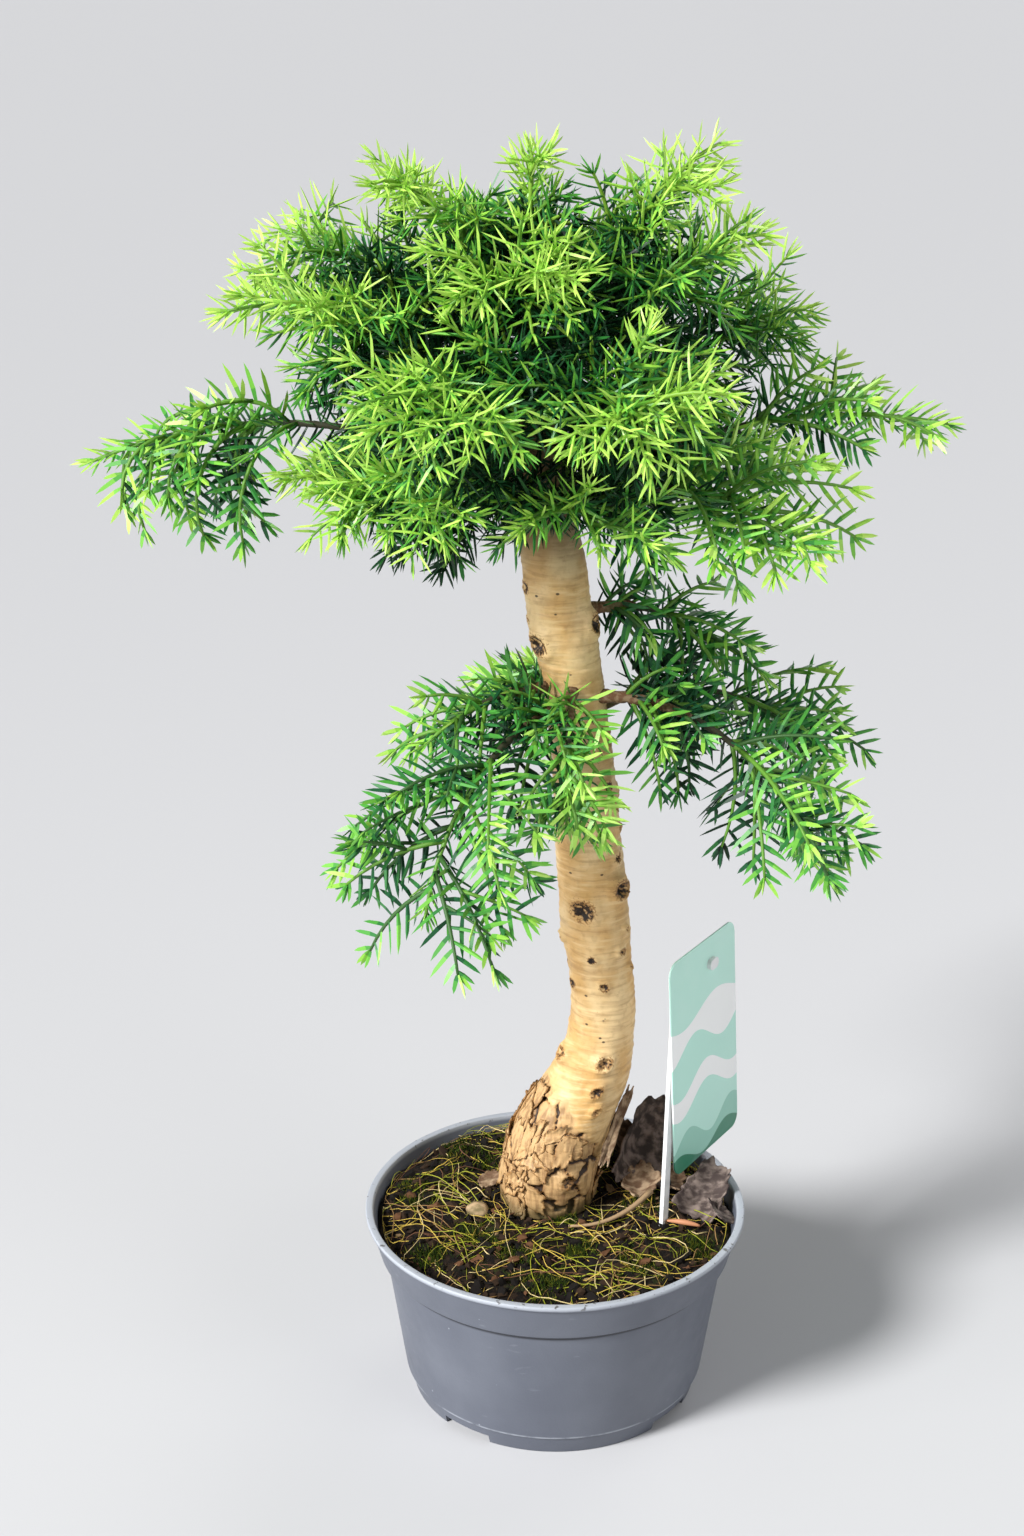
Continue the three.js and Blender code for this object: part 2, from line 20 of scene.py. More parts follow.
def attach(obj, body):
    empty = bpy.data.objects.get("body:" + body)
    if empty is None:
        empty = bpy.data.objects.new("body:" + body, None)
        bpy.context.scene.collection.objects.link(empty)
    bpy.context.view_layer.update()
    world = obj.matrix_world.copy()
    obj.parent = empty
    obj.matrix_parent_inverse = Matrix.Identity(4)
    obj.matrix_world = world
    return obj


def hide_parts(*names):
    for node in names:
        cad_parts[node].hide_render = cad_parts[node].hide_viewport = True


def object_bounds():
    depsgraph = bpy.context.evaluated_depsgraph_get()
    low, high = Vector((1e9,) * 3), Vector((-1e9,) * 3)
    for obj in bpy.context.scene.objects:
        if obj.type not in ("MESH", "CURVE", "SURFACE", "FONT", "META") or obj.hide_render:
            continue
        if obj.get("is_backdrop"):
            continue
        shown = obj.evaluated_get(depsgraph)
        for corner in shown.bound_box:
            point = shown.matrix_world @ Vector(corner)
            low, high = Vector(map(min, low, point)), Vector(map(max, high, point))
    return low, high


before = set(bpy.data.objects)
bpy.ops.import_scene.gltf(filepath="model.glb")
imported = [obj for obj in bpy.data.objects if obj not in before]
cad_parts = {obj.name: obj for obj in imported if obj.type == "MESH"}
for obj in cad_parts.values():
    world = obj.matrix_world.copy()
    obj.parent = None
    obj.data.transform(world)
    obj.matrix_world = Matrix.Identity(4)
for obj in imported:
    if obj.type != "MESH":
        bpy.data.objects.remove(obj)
CAD_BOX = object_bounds()
MM = 0.001
BODY = "root"
DOT_CORE = 0.6
WELD = 0.001
LOG = logging.getLogger("bonsai")
Array = np.ndarray
Pair = tuple[float, float]
Triple = tuple[float, float, float]
Colour = tuple[float, float, float, float]
Shape = bmesh.types.BMesh
Piece = bpy.types.Object


class Slot(Enum):
    """The record's material slots."""

    POT = "pot_plastic"
    SOIL = "potting_soil"
    TRUNK = "trunk_bark"
    BOUGH = "bough_bark"
    NEEDLES = "needles"
    CARD = "label_card"
    HOLDER = "label_holder"


# Shaders


class Value:
    """A shader socket that takes part in Python arithmetic."""

    def __init__(self, shader: "Shader", socket: bpy.types.NodeSocket) -> None:
        """Holds a socket of a shader's tree."""
        self.shader = shader
        self.socket = socket

    def _math(self, operation: str, *operands: "Value | float") -> "Value":
        """Adds a Math node over the operands."""
        return self.shader.node("ShaderNodeMath", {"operation": operation}, dict(enumerate(operands)))

    def __add__(self, other: "Value | float") -> "Value":
        """The sum of two values."""
        return self._math("ADD", self, other)

    def __sub__(self, other: "Value | float") -> "Value":
        """The difference of two values."""
        return self._math("SUBTRACT", self, other)

    def __rsub__(self, other: float) -> "Value":
        """A number less this value."""
        return self._math("SUBTRACT", other, self)

    def __mul__(self, other: "Value | float") -> "Value":
        """The product of two values."""
        return self._math("MULTIPLY", self, other)

    __radd__ = __add__
    __rmul__ = __mul__

    def above(self, limit: "Value | float") -> "Value":
        """One where this value is over a limit, and nought elsewhere."""
        return self._math("GREATER_THAN", self, limit)

    def near(self, middle: float, reach: float) -> "Value":
        """One at a middle value, falling to nought at a reach from it."""
        return self.smooth(middle - reach, middle) * self.smooth(middle + reach, middle)

    def wave(self) -> "Value":
        """The sine of this value."""
        return self._math("SINE", self)

    def smooth(self, low: float, high: float) -> "Value":
        """A soft step from nought at one value to one at another.

        Args:
            low: The value that gives nought.
            high: The value that gives one, which may be the smaller.

        Returns:
            The step as a value.
        """
        settings = {"interpolation_type": "SMOOTHSTEP"}
        return self.shader.node(
            "ShaderNodeMapRange", settings, {"Value": self, "From Min": low, "From Max": high}
        )


@dataclass(frozen=True)
class Marks:
    """Soft noise marks: their size in millimetres, the values they fade in between, and their strength."""

    size: float
    fade: Pair
    strength: float = 1
    detail: float = 3
    stretch: Triple = (1, 1, 1)

    def noise(self, shader: "Shader") -> Value:
        """The noise that the marks come from."""
        return shader.grain(self.size, self.detail, self.stretch)

    def cover(self, shader: "Shader") -> Value:
        """How far the marks cover a place."""
        return self.noise(shader).smooth(*self.fade) * self.strength


class Shader:
    """The nodes of one material round its Principled shader."""

    def __init__(self, name: str) -> None:
        """Starts a material with the place of its surface at hand.

        Args:
            name: The material's name.
        """
        self.material = bpy.data.materials.new(name)
        self.material.use_nodes = True
        self.tree = self.material.node_tree
        self.surface = self.tree.nodes["Principled BSDF"]
        self.place = self.node("ShaderNodeTexCoord", output="Object")

    def node(
        self,
        kind: str,
        settings: dict[str, object] | None = None,
        inputs: dict[str | int, object] | None = None,
        output: str | int = 0,
    ) -> Value:
        """Adds a node.

        Args:
            kind: The node's type.
            settings: Its settings, set before its sockets.
            inputs: Values or links of its sockets, by name or number.
            output: The socket to go on from.

        Returns:
            That socket as a value.
        """
        node = self.tree.nodes.new(kind)
        for key, setting in (settings or {}).items():
            setattr(node, key, setting)
        for key, value in (inputs or {}).items():
            self.feed(node.inputs[key], value)
        return Value(self, node.outputs[output])

    def feed(self, socket: bpy.types.NodeSocket, value: object) -> None:
        """Links a value to a socket, or sets a constant on it.

        Args:
            socket: The socket.
            value: The value or the constant.
        """
        if isinstance(value, Value):
            self.tree.links.new(value.socket, socket)
        else:
            socket.default_value = value

    def axes(self, place: Value | None = None) -> tuple[Value, Value, Value]:
        """The three coordinates in metres of a place, or else of the surface in its own object."""
        split = self.node("ShaderNodeSeparateXYZ", None, {0: place or self.place})
        return tuple(Value(self, socket) for socket in split.socket.node.outputs)

    def stretched(self, stretch: Sequence[float]) -> Value:
        """The surface's place scaled along each axis, so that a pattern is drawn out where it is small."""
        return self.node("ShaderNodeMapping", None, {"Vector": self.place, "Scale": stretch})

    def grain(self, size: float, detail: float = 3.0, stretch: Sequence[float] = (1, 1, 1)) -> Value:
        """Soft noise about a half, with marks of a size in millimetres, finer layers and a stretch."""
        inputs = {"Vector": self.stretched(stretch), "Scale": 1 / (size * MM), "Detail": detail}
        return self.node("ShaderNodeTexNoise", None, inputs, "Fac")

    def dots(self, room: float, radius: float, share: float, stretch: Sequence[float] = (1, 1, 1)) -> Value:
        """Scattered round marks.

        Args:
            room: The room of each mark in millimetres.
            radius: The radius of a mark as a share of its room.
            share: How many of the rooms hold a mark.
            stretch: A scale for each axis.

        Returns:
            A value of one within the marks.
        """
        inputs = {"Vector": self.stretched(stretch), "Scale": 1 / (room * MM)}
        distance = self.node("ShaderNodeTexVoronoi", None, inputs, "Distance")
        lot = self.axes(Value(self, distance.socket.node.outputs["Color"]))[0]
        return distance.smooth(radius, radius * DOT_CORE) * lot.above(1 - share)

    def matt(self, lowest: float, spread: float, size: float) -> Value:
        """A roughness that varies softly by a spread over patches of a size in millimetres."""
        return lowest + spread * self.grain(size)

    def attribute(self, name: str) -> Value:
        """A number that the mesh holds at each point."""
        return self.node("ShaderNodeAttribute", {"attribute_name": name}, None, "Fac")

    def mix(self, share: Value | float, first: "Value | Colour", second: "Value | Colour") -> Value:
        """A colour between two others, with a share of the second."""
        inputs = {"Factor": share, 6: first, 7: second}
        return self.node("ShaderNodeMix", {"data_type": "RGBA"}, inputs, 2)

    def paint(self, colour: Colour, *coats: "tuple[Marks | Value, Value | Colour]") -> "Value | Colour":
        """Lays coats over a colour.

        Args:
            colour: The colour below them.
            coats: How far each covers a place, as marks or as a value, and its colour.

        Returns:
            The painted colour.
        """
        for cover, tint in coats:
            share = cover.cover(self) if isinstance(cover, Marks) else cover
            colour = self.mix(share, colour, tint)
        return colour

    def dress(
        self,
        colour: "Value | Colour",
        roughness: Value | float,
        relief: Value | None = None,
        depth: float = 0.2,
        **constants: float,
    ) -> bpy.types.Material:
        """Feeds the Principled shader.

        Args:
            colour: The base colour.
            roughness: The roughness.
            relief: The height of a fine relief, if it has one.
            depth: The depth of that relief in millimetres.
            constants: Other sockets, with _ for the spaces in their names.

        Returns:
            The finished material.
        """
        sockets = self.surface.inputs
        self.feed(sockets["Base Color"], colour)
        self.feed(sockets["Roughness"], roughness)
        if relief is not None:
            inputs = {"Height": relief, "Distance": depth * MM, "Strength": 1.0}
            self.feed(sockets["Normal"], self.node("ShaderNodeBump", None, inputs))
        for key, constant in constants.items():
            sockets[key.replace("_", " ")].default_value = constant
        return self.material


# Finishes


@dataclass(frozen=True)
class Tint:
    """A plain colour for many small things."""

    name: str
    colour: Triple
    roughness: float = 0.5
    specular: float = 0.4

    def material(self) -> bpy.types.Material:
        """Makes the plain material, once for all the pieces that share it.

        Returns:
            The material.
        """
        made = bpy.data.materials.get(self.name)
        if made is None:
            colour = (*self.colour, 1)
            made = Shader(self.name).dress(colour, self.roughness, Specular_IOR_Level=self.specular)
        return made


@dataclass(frozen=True)
class PotPlastic:
    """Blue-grey moulded plastic with scuffs, pale specks, a painted shadow under the rim band, a pale line
    above the foot's step, and a rim band painted paler, partly wear and partly a painted highlight.
    """

    colour: Colour = (0.103, 0.114, 0.145, 1)
    faded: Colour = (0.140, 0.153, 0.187, 1)
    scuff: Colour = (0.36, 0.385, 0.43, 1)
    worn_and_lit_rim: Colour = (0.47, 0.50, 0.55, 1)
    dirt: Colour = (0.06, 0.05, 0.04, 1)
    painted_band_shadow: Colour = (0.026, 0.028, 0.036, 1)
    painted_band_shadow_height: float = 54.4
    painted_band_shadow_reach: float = 1.0
    painted_band_shadow_strength: float = 0.95
    foot_line_height: float = 7.9
    foot_line_reach: float = 0.7
    rim_wear_and_highlight_heights: Pair = (69.8, 71.5)
    rim_strength: float = 0.8
    speck_strength: float = 0.8
    fading: Marks = Marks(40, (0.3, 0.75))
    scratches: Marks = Marks(3.2, (0.69, 0.78), 0.15, 2, (0.3, 0.3, 1))
    foot_line_marks: Marks = Marks(8, (0.35, 0.55), 0.8)
    nicks: Marks = Marks(2.2, (0.62, 0.7), 0.8, 4)

    def material(self) -> bpy.types.Material:
        """Makes the plastic.

        Returns:
            The material.
        """
        shader = Shader("pot_plastic")
        height = shader.axes()[2]
        # Painted shadow: a dark line on the wall just under the rim band, where the band's shadow falls.
        painted_band_shadow = height.near(self.painted_band_shadow_height * MM, self.painted_band_shadow_reach * MM)
        # A pale line just above the foot's step, broken up by noise.
        foot_line = height.near(self.foot_line_height * MM, self.foot_line_reach * MM)
        # Partly wear and partly painted highlight: the rim band is painted paler, and its dark nicks lie on
        # it.
        rim_wear_and_highlight = height.smooth(*[part * MM for part in self.rim_wear_and_highlight_heights])
        specks = shader.dots(room=9, radius=0.06, share=0.4)
        colour = shader.paint(
            self.colour,
            (self.fading, self.faded),
            (specks * self.speck_strength, self.scuff),
            (self.scratches, self.scuff),
            (painted_band_shadow * self.painted_band_shadow_strength, self.painted_band_shadow),
            (foot_line * self.foot_line_marks.cover(shader), self.scuff),
            (rim_wear_and_highlight * self.rim_strength, self.worn_and_lit_rim),
            (rim_wear_and_highlight * self.nicks.cover(shader), self.dirt),
        )
        roughness = shader.matt(lowest=0.4, spread=0.2, size=6)
        return shader.dress(colour, roughness, shader.grain(0.9, 2), depth=0.05)


@dataclass(frozen=True)
class PottingSoil:
    """Dark crumbling soil with brown fibre in it and a green bloom."""

    dark: Colour = (0.007, 0.005, 0.004, 1)
    brown: Colour = (0.024, 0.014, 0.008, 1)
    fibre: Colour = (0.06, 0.036, 0.017, 1)
    bloom: Colour = (0.028, 0.040, 0.006, 1)
    clods: Marks = Marks(2.6, (0.42, 0.62), detail=5)
    threads: Marks = Marks(1.3, (0.62, 0.72), stretch=(1, 0.3, 1))
    bloom_patches: Marks = Marks(17, (0.52, 0.66), 0.8)
    bloom_grains: Marks = Marks(1.6, (0.42, 0.6))

    def material(self) -> bpy.types.Material:
        """Makes the soil.

        Returns:
            The material.
        """
        shader = Shader("potting_soil")
        bloom = self.bloom_patches.cover(shader) * self.bloom_grains.cover(shader)
        colour = shader.paint(
            self.dark, (self.clods, self.brown), (self.threads, self.fibre), (bloom, self.bloom)
        )
        return shader.dress(colour, 0.95, shader.grain(0.7, 4), depth=0.6, Specular_IOR_Level=0.2)


@dataclass(frozen=True)
class TrunkBark:
    """Golden papery bark with fine level streaks, dark flecks, scars, torn plates at the foot, painted shade
    below the head, darker bark by the soil, and painted shadow along the flakes' rims.
    """

    gold: Colour = (0.63, 0.38, 0.138, 1)
    pale: Colour = (0.79, 0.58, 0.30, 1)
    streak: Colour = (0.30, 0.145, 0.042, 1)
    plate: Colour = (0.58, 0.365, 0.165, 1)
    worn_plate: Colour = (0.25, 0.135, 0.058, 1)
    crack: Colour = (0.045, 0.024, 0.013, 1)
    scar: Colour = (0.022, 0.012, 0.007, 1)
    painted_head_shade: Colour = (0.085, 0.060, 0.022, 1)
    painted_head_shade_heights: Pair = (306, 334)
    foot_darkening: Colour = (0.055, 0.046, 0.016, 1)
    foot_darkening_heights: Pair = (76, 66.5)
    height_strength: float = 0.85
    height_sway: float = 4
    fleck_strength: float = 0.9
    crack_raggedness: float = 0.5
    crack_rim: Pair = (0.36, 0.6)
    crack_rim_strength: float = 0.7
    crack_core: Pair = (0.6, 0.78)
    scar_raggedness: float = 1.1
    scar_weight: float = 0.8
    scar_rim: Pair = (0.72, 0.95)
    scar_rim_strength: float = 0.85
    scar_core: Pair = (0.98, 1.2)
    fibre_relief: float = 0.4
    shades: Marks = Marks(16, (0.36, 0.64), detail=4, stretch=(1, 1, 0.6))
    bands: Marks = Marks(5, (0.5, 0.66), 0.22, 3, (0.2, 0.2, 1))
    lines: Marks = Marks(1.5, (0.52, 0.66), 0.32, 4, (0.12, 0.12, 1))
    pale_lines: Marks = Marks(1.5, (0.47, 0.32), 0.6, 4, (0.12, 0.12, 1))
    mottling: Marks = Marks(2.2, (0.5, 0.68), 0.2, 4)
    fibres: Marks = Marks(1.6, (0.40, 0.66), 0.75, 4, (1, 1, 0.14))
    plate_patches: Marks = Marks(7, (0.5, 0.7), 0.2)

    def material(self) -> bpy.types.Material:
        """Makes the bark.

        Returns:
            The material.
        """
        shader = Shader("trunk_bark")
        plates = shader.paint(self.plate, (self.fibres, self.worn_plate), (self.plate_patches, self.pale))
        flecks = shader.dots(room=4.2, radius=0.13, share=0.4, stretch=(0.7, 0.7, 1))
        # The crack attribute holds the cracks between plates and also the painted shadow along the flakes'
        # rims.
        cracks_and_rim_shadow = shader.attribute("crack") + shader.grain(1.1) * self.crack_raggedness
        scarred = shader.grain(0.7) * self.scar_raggedness + shader.attribute("scar") * self.scar_weight
        height = shader.axes()[2] + shader.grain(5) * (self.height_sway * MM) - self.height_sway / 2 * MM
        # Painted shade below the head, where its shadow falls on the trunk; the other band darkens the bark
        # by the soil.
        painted_head_shade, foot_darkening = (
            height.smooth(*[part * MM for part in heights]) * self.height_strength
            for heights in (self.painted_head_shade_heights, self.foot_darkening_heights)
        )
        colour = shader.paint(
            self.gold,
            (self.shades, self.pale),
            (self.bands, self.streak),
            (self.lines, self.streak),
            (self.mottling, self.streak),
            (self.pale_lines, self.pale),
            (flecks * self.fleck_strength, self.crack),
            (shader.attribute("plate"), plates),
            (cracks_and_rim_shadow.smooth(*self.crack_rim) * self.crack_rim_strength, self.streak),
            (cracks_and_rim_shadow.smooth(*self.crack_core), self.crack),
            (scarred.smooth(*self.scar_rim) * self.scar_rim_strength, self.streak),
            (scarred.smooth(*self.scar_core), self.scar),
            (painted_head_shade, self.painted_head_shade),
            # Darker towards the trunk's foot, by the soil.
            (foot_darkening, self.foot_darkening),
        )
        roughness = shader.matt(lowest=0.42, spread=0.25, size=5)
        relief = self.lines.noise(shader) + self.fibres.noise(shader) * self.fibre_relief
        return shader.dress(colour, roughness, relief, depth=0.3, Specular_IOR_Level=0.35)


@dataclass(frozen=True)
class BoughBark:
    """Brown bark of the thin boughs, rough and a little green."""

    brown: Colour = (0.13, 0.065, 0.032, 1)
    grey: Colour = (0.22, 0.15, 0.085, 1)
    green: Colour = (0.06, 0.075, 0.022, 1)
    scales: Marks = Marks(1.6, (0.4, 0.62), detail=4)
    film: Marks = Marks(9, (0.5, 0.66), 0.6)

    def material(self) -> bpy.types.Material:
        """Makes the bark.

        Returns:
            The material.
        """
        shader = Shader("bough_bark")
        colour = shader.paint(self.brown, (self.scales, self.grey), (self.film, self.green))
        return shader.dress(colour, 0.8, shader.grain(0.8), depth=0.3, Specular_IOR_Level=0.25)


@dataclass(frozen=True)
class DryLeaf:
    """A dead scrap of bark or leaf with veins and dark spots."""

    name: str
    dark: Colour
    light: Colour
    veins: Marks = Marks(2.2, (0.38, 0.66), detail=4, stretch=(0.5, 1, 0.5))
    spots: Marks = Marks(5, (0.58, 0.68), 0.7, 4)

    def material(self) -> bpy.types.Material:
        """Makes the dead scrap's finish.

        Returns:
            The material.
        """
        shader = Shader(self.name)
        colour = shader.paint(self.dark, (self.veins, self.light), (self.spots, self.dark))
        return shader.dress(colour, 0.8, self.veins.noise(shader), depth=0.4, Specular_IOR_Level=0.25)


@dataclass(frozen=True)
class Wave:
    """The wavy upper edge of a printed band: its height on the card, its swell, its turns, its phase."""

    level: float
    swell: float
    turns: float
    phase: float


@dataclass(frozen=True)
class CardPrint:
    """A white card with rolling bands of mint and green, the deepest at its foot."""

    centre: Sequence[float]
    lean: float
    yaw: float
    white: Colour = (0.97, 0.98, 0.97, 1)
    mint: Colour = (0.52, 0.86, 0.74, 1)
    sage: Colour = (0.30, 0.62, 0.50, 1)
    green: Colour = (0.035, 0.24, 0.14, 1)
    sheen: float = 0.12
    print_depth: float = 0.2

    def material(self) -> bpy.types.Material:
        """Makes the printed card.

        Returns:
            The material.
        """
        shader = Shader("label_card")
        inputs = {
            "Vector": shader.place,
            "Location": [part * MM for part in self.centre],
            "Rotation": (math.radians(self.lean), 0, math.radians(self.yaw)),
        }
        card = shader.node("ShaderNodeMapping", {"vector_type": "TEXTURE"}, inputs)
        across, through, up = shader.axes(card)
        colour = shader.mix(shader.grain(7) * self.sheen, self.mint, self.white)
        for wave, tint in (
            (Wave(17, 3.5, 120, 0.4), self.white),
            (Wave(5, 4.5, 150, 2.6), self.mint),
            (Wave(-9, 4.5, 150, 1.4), self.white),
            (Wave(-17, 4.5, 150, 1.4), self.mint),
            (Wave(-31, 4, 190, 4.1), self.sage),
            (Wave(-38.5, 3, 170, 5.2), self.green),
        ):
            edge = (across * wave.turns + wave.phase).wave() * (wave.swell * MM) + wave.level * MM
            colour = shader.mix(edge.above(up), colour, tint)
        colour = shader.mix(through.above(self.print_depth * MM), colour, self.white)
        roughness = shader.matt(lowest=0.28, spread=0.1, size=3)
        return shader.dress(colour, roughness, shader.grain(1.2, 2), depth=0.02)


@dataclass(frozen=True)
class WhitePlastic:
    """Slightly clouded white plastic."""

    white: Colour = (0.82, 0.83, 0.83, 1)
    clouded: Colour = (0.66, 0.68, 0.68, 1)
    clouds: Marks = Marks(5, (0.4, 0.75))

    def material(self) -> bpy.types.Material:
        """Makes the plastic.

        Returns:
            The material.
        """
        shader = Shader("label_holder")
        colour = shader.paint(self.white, (self.clouds, self.clouded))
        roughness = shader.matt(lowest=0.3, spread=0.15, size=4)
        return shader.dress(colour, roughness, shader.grain(1, 2), depth=0.03)


# Meshes


@dataclass
class Joined:
    """A mesh of many small things: points, triangles, and the number of each triangle's finish."""

    points: Array
    triangles: Array
    finishes: Array

    @classmethod
    def of(cls, parts: "Sequence[Joined]") -> "Joined":
        """Joins several meshes into one.

        Args:
            parts: The meshes.

        Returns:
            The joined mesh.
        """
        starts = np.cumsum([0, *(len(part.points) for part in parts[:-1])])
        return cls(
            np.concatenate([part.points for part in parts]),
            np.concatenate([part.triangles + start for part, start in zip(parts, starts)]),
            np.concatenate([part.finishes for part in parts]),
        )

    @classmethod
    def copies(cls, points: Array, triangles: Array, finishes: Array) -> "Joined":
        """Joins copies of one shape.

        Args:
            points: The points of each copy, copies by points by 3.
            triangles: The triangles of the shape.
            finishes: The number of each copy's finish.

        Returns:
            The joined mesh.
        """
        count, size = points.shape[:2]
        starts = np.arange(count)[:, None, None] * size
        return cls(
            points.reshape(-1, 3),
            (triangles[None] + starts).reshape(-1, 3),
            np.repeat(finishes, len(triangles)),
        )

    def mesh(self, name: str) -> bpy.types.Mesh:
        """Makes the mesh in Blender.

        Args:
            name: Its name.

        Returns:
            The mesh, in millimetres.
        """
        mesh = bpy.data.meshes.new(name)
        mesh.from_pydata(self.points, [], self.triangles)
        mesh.polygons.foreach_set("material_index", self.finishes.astype(np.int32))
        return mesh


def as_mesh(name: str, shape: Shape) -> bpy.types.Mesh:
    """Makes a mesh of a shape and frees the shape.

    Args:
        name: The mesh's name.
        shape: The shape.

    Returns:
        The mesh.
    """
    mesh = bpy.data.meshes.new(name)
    shape.to_mesh(mesh)
    shape.free()
    return mesh


def merged(shapes: Iterable[Shape]) -> Shape:
    """Joins several shapes into one and frees them.

    Args:
        shapes: The shapes.

    Returns:
        The joined shape.
    """
    whole = bmesh.new()
    for shape in shapes:
        mesh = as_mesh("part", shape)
        whole.from_mesh(mesh)
        bpy.data.meshes.remove(mesh)
    return whole


def placed(name: str, data: bpy.types.ID) -> Piece:
    """Puts a mesh, a light or a camera into the scene.

    Args:
        name: The name of its object.
        data: The mesh, the light or the camera.

    Returns:
        The object.
    """
    item = bpy.data.objects.new(name, data)
    bpy.context.scene.collection.objects.link(item)
    return item


def publish(
    name: str,
    shape: "Shape | Joined",
    finishes: Sequence[object],
    slot: Slot,
    nodes: Sequence[str] = (),
    crease: float | None = None,
    thickness: float = 0,
) -> Piece:
    """Makes a shape a piece of the plant.

    Args:
        name: The piece's name.
        shape: Its shape in millimetres. A BMesh is freed.
        finishes: Its finishes, in the order of their numbers on the faces.
        slot: The record's slot for it; not used.
        nodes: The nodes that it stands for.
        crease: The angle from which an edge shows, or None to shade all of it smooth.
        thickness: The thickness that a sheet gets.

    Returns:
        The piece.
    """
    mesh = shape.mesh(name) if isinstance(shape, Joined) else as_mesh(name, shape)
    mesh.transform(Matrix.Scale(MM, 4))
    mesh.shade_smooth()
    if crease is not None:
        mesh.set_sharp_from_angle(angle=math.radians(crease))
    for finish in finishes:
        mesh.materials.append(finish.material())
    piece = placed(name, mesh)
    if thickness:
        shell = piece.modifiers.new("thickness", "SOLIDIFY")
        shell.thickness = thickness * MM
        shell.offset = 0
    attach(piece, BODY)
    if nodes:
        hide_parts(*nodes)
    return piece


def rounded(
    shape: Shape, geometry: Sequence[object], offset: float, segments: int, affect: str = "EDGES"
) -> None:
    """Rounds off edges or corners of a shape.

    Args:
        shape: The shape.
        geometry: The edges or corners.
        offset: How far they are rounded off.
        segments: How many steps make the rounding.
        affect: EDGES or VERTICES.
    """
    bmesh.ops.bevel(
        shape, geom=geometry, offset=offset, segments=segments, profile=0.5, affect=affect, material=-1
    )


def spun(profile: Sequence[Pair], steps: int, rounding: float = 0) -> Shape:
    """Turns a profile about Z.

    Args:
        profile: Radii and heights, from the axis round to the axis.
        steps: How many steps make the full turn.
        rounding: How far each corner is rounded off.

    Returns:
        The closed turned shape.
    """
    shape = bmesh.new()
    corners = [shape.verts.new((radius, 0, height)) for radius, height in profile]
    for first, second in zip(corners, corners[1:]):
        shape.edges.new((first, second))
    if rounding:
        rounded(shape, corners[1:-1], rounding, segments=3, affect="VERTICES")
    line = [*shape.verts, *shape.edges]
    bmesh.ops.spin(
        shape, geom=line, cent=(0, 0, 0), axis=(0, 0, 1), angle=math.tau, steps=steps, use_merge=True
    )
    bmesh.ops.remove_doubles(shape, verts=shape.verts, dist=WELD)
    bmesh.ops.recalc_face_normals(shape, faces=shape.faces)
    return shape


def column(sides: int, rows: int) -> Shape:
    """A closed upright cylinder of radius 1 from 0 to 1 along Z, cut into rows.

    Args:
        sides: How many sides it has.
        rows: How many rows of faces it has.

    Returns:
        The cylinder.
    """
    shape = bmesh.new()
    middle = Matrix.Translation((0, 0, 0.5))
    bmesh.ops.create_cone(
        shape, cap_ends=True, segments=sides, radius1=1, radius2=1, depth=1, matrix=middle
    )
    upright = [edge for edge in shape.edges if abs(edge.verts[0].co.z - edge.verts[1].co.z) > 0.5]
    bmesh.ops.subdivide_edges(shape, edges=upright, cuts=rows - 1, use_grid_fill=True)
    return shape


def tube(line: Array, radii: Array, sides: int, across: Array, finishes: Array) -> Joined:
    """A closed tube along a line.

    Args:
        line: Its middle line, points by 3.
        radii: Its radius at each point.
        sides: How many sides it has.
        across: A way that is never along the line.
        finishes: The number of the finish at each point of the line.

    Returns:
        The tube.
    """
    along = np.gradient(line, axis=0)
    level = np.cross(along, np.cross(across, along))
    level /= np.linalg.norm(level, axis=1, keepdims=True)
    upright = np.cross(along, level)
    upright /= np.linalg.norm(upright, axis=1, keepdims=True)
    turn = np.arange(sides) * (math.tau / sides)
    ring = level[:, None] * np.cos(turn)[:, None] + upright[:, None] * np.sin(turn)[:, None]
    rings = line[:, None] + radii[:, None, None] * ring
    points = np.concatenate([rings.reshape(-1, 3), line[:1], line[-1:]])
    row, side = np.meshgrid(np.arange(len(line) - 1), np.arange(sides), indexing="ij")
    a = (row * sides + side).ravel()
    b = (row * sides + (side + 1) % sides).ravel()
    edge = np.arange(sides)
    after = (edge + 1) % sides
    last = (len(line) - 1) * sides
    ends = len(points) - 2
    triangles = np.concatenate([
        np.stack([a, b, b + sides], 1),
        np.stack([a, b + sides, a + sides], 1),
        np.stack([np.full(sides, ends), after, edge], 1),
        np.stack([np.full(sides, ends + 1), last + edge, last + after], 1),
    ])
    rows = finishes[row.ravel()]
    caps = np.repeat(finishes[[0, -1]], sides)
    return Joined(points, triangles, np.concatenate([rows, rows, caps]))


def turn_about(points: Array, turns: Array) -> Array:
    """Turns copies of a shape, copies by points by 3, each by its own angles in radians about X, Y and Z."""
    matrices = np.array([Euler(turn).to_matrix() for turn in turns])
    return np.einsum("nij,npj->npi", matrices, points)


def jitter(seed: int, index: int) -> float:
    """A fixed value from -1 to 1 for each pair of numbers, so that every run grows the same tree."""
    wave = math.sin(seed * 127.1 + index * 311.7) * 43758.5453
    return 2 * (wave - math.floor(wave)) - 1


def step(low: float, high: float, value: float) -> float:
    """A soft step from nought at one value to one at another."""
    share = min(max((value - low) / (high - low), 0), 1)
    return share * share * (3 - 2 * share)


def bell(value: float, width: float, power: int = 2) -> float:
    """A bell of height one about nought."""
    return math.exp(-((value / width) ** power))


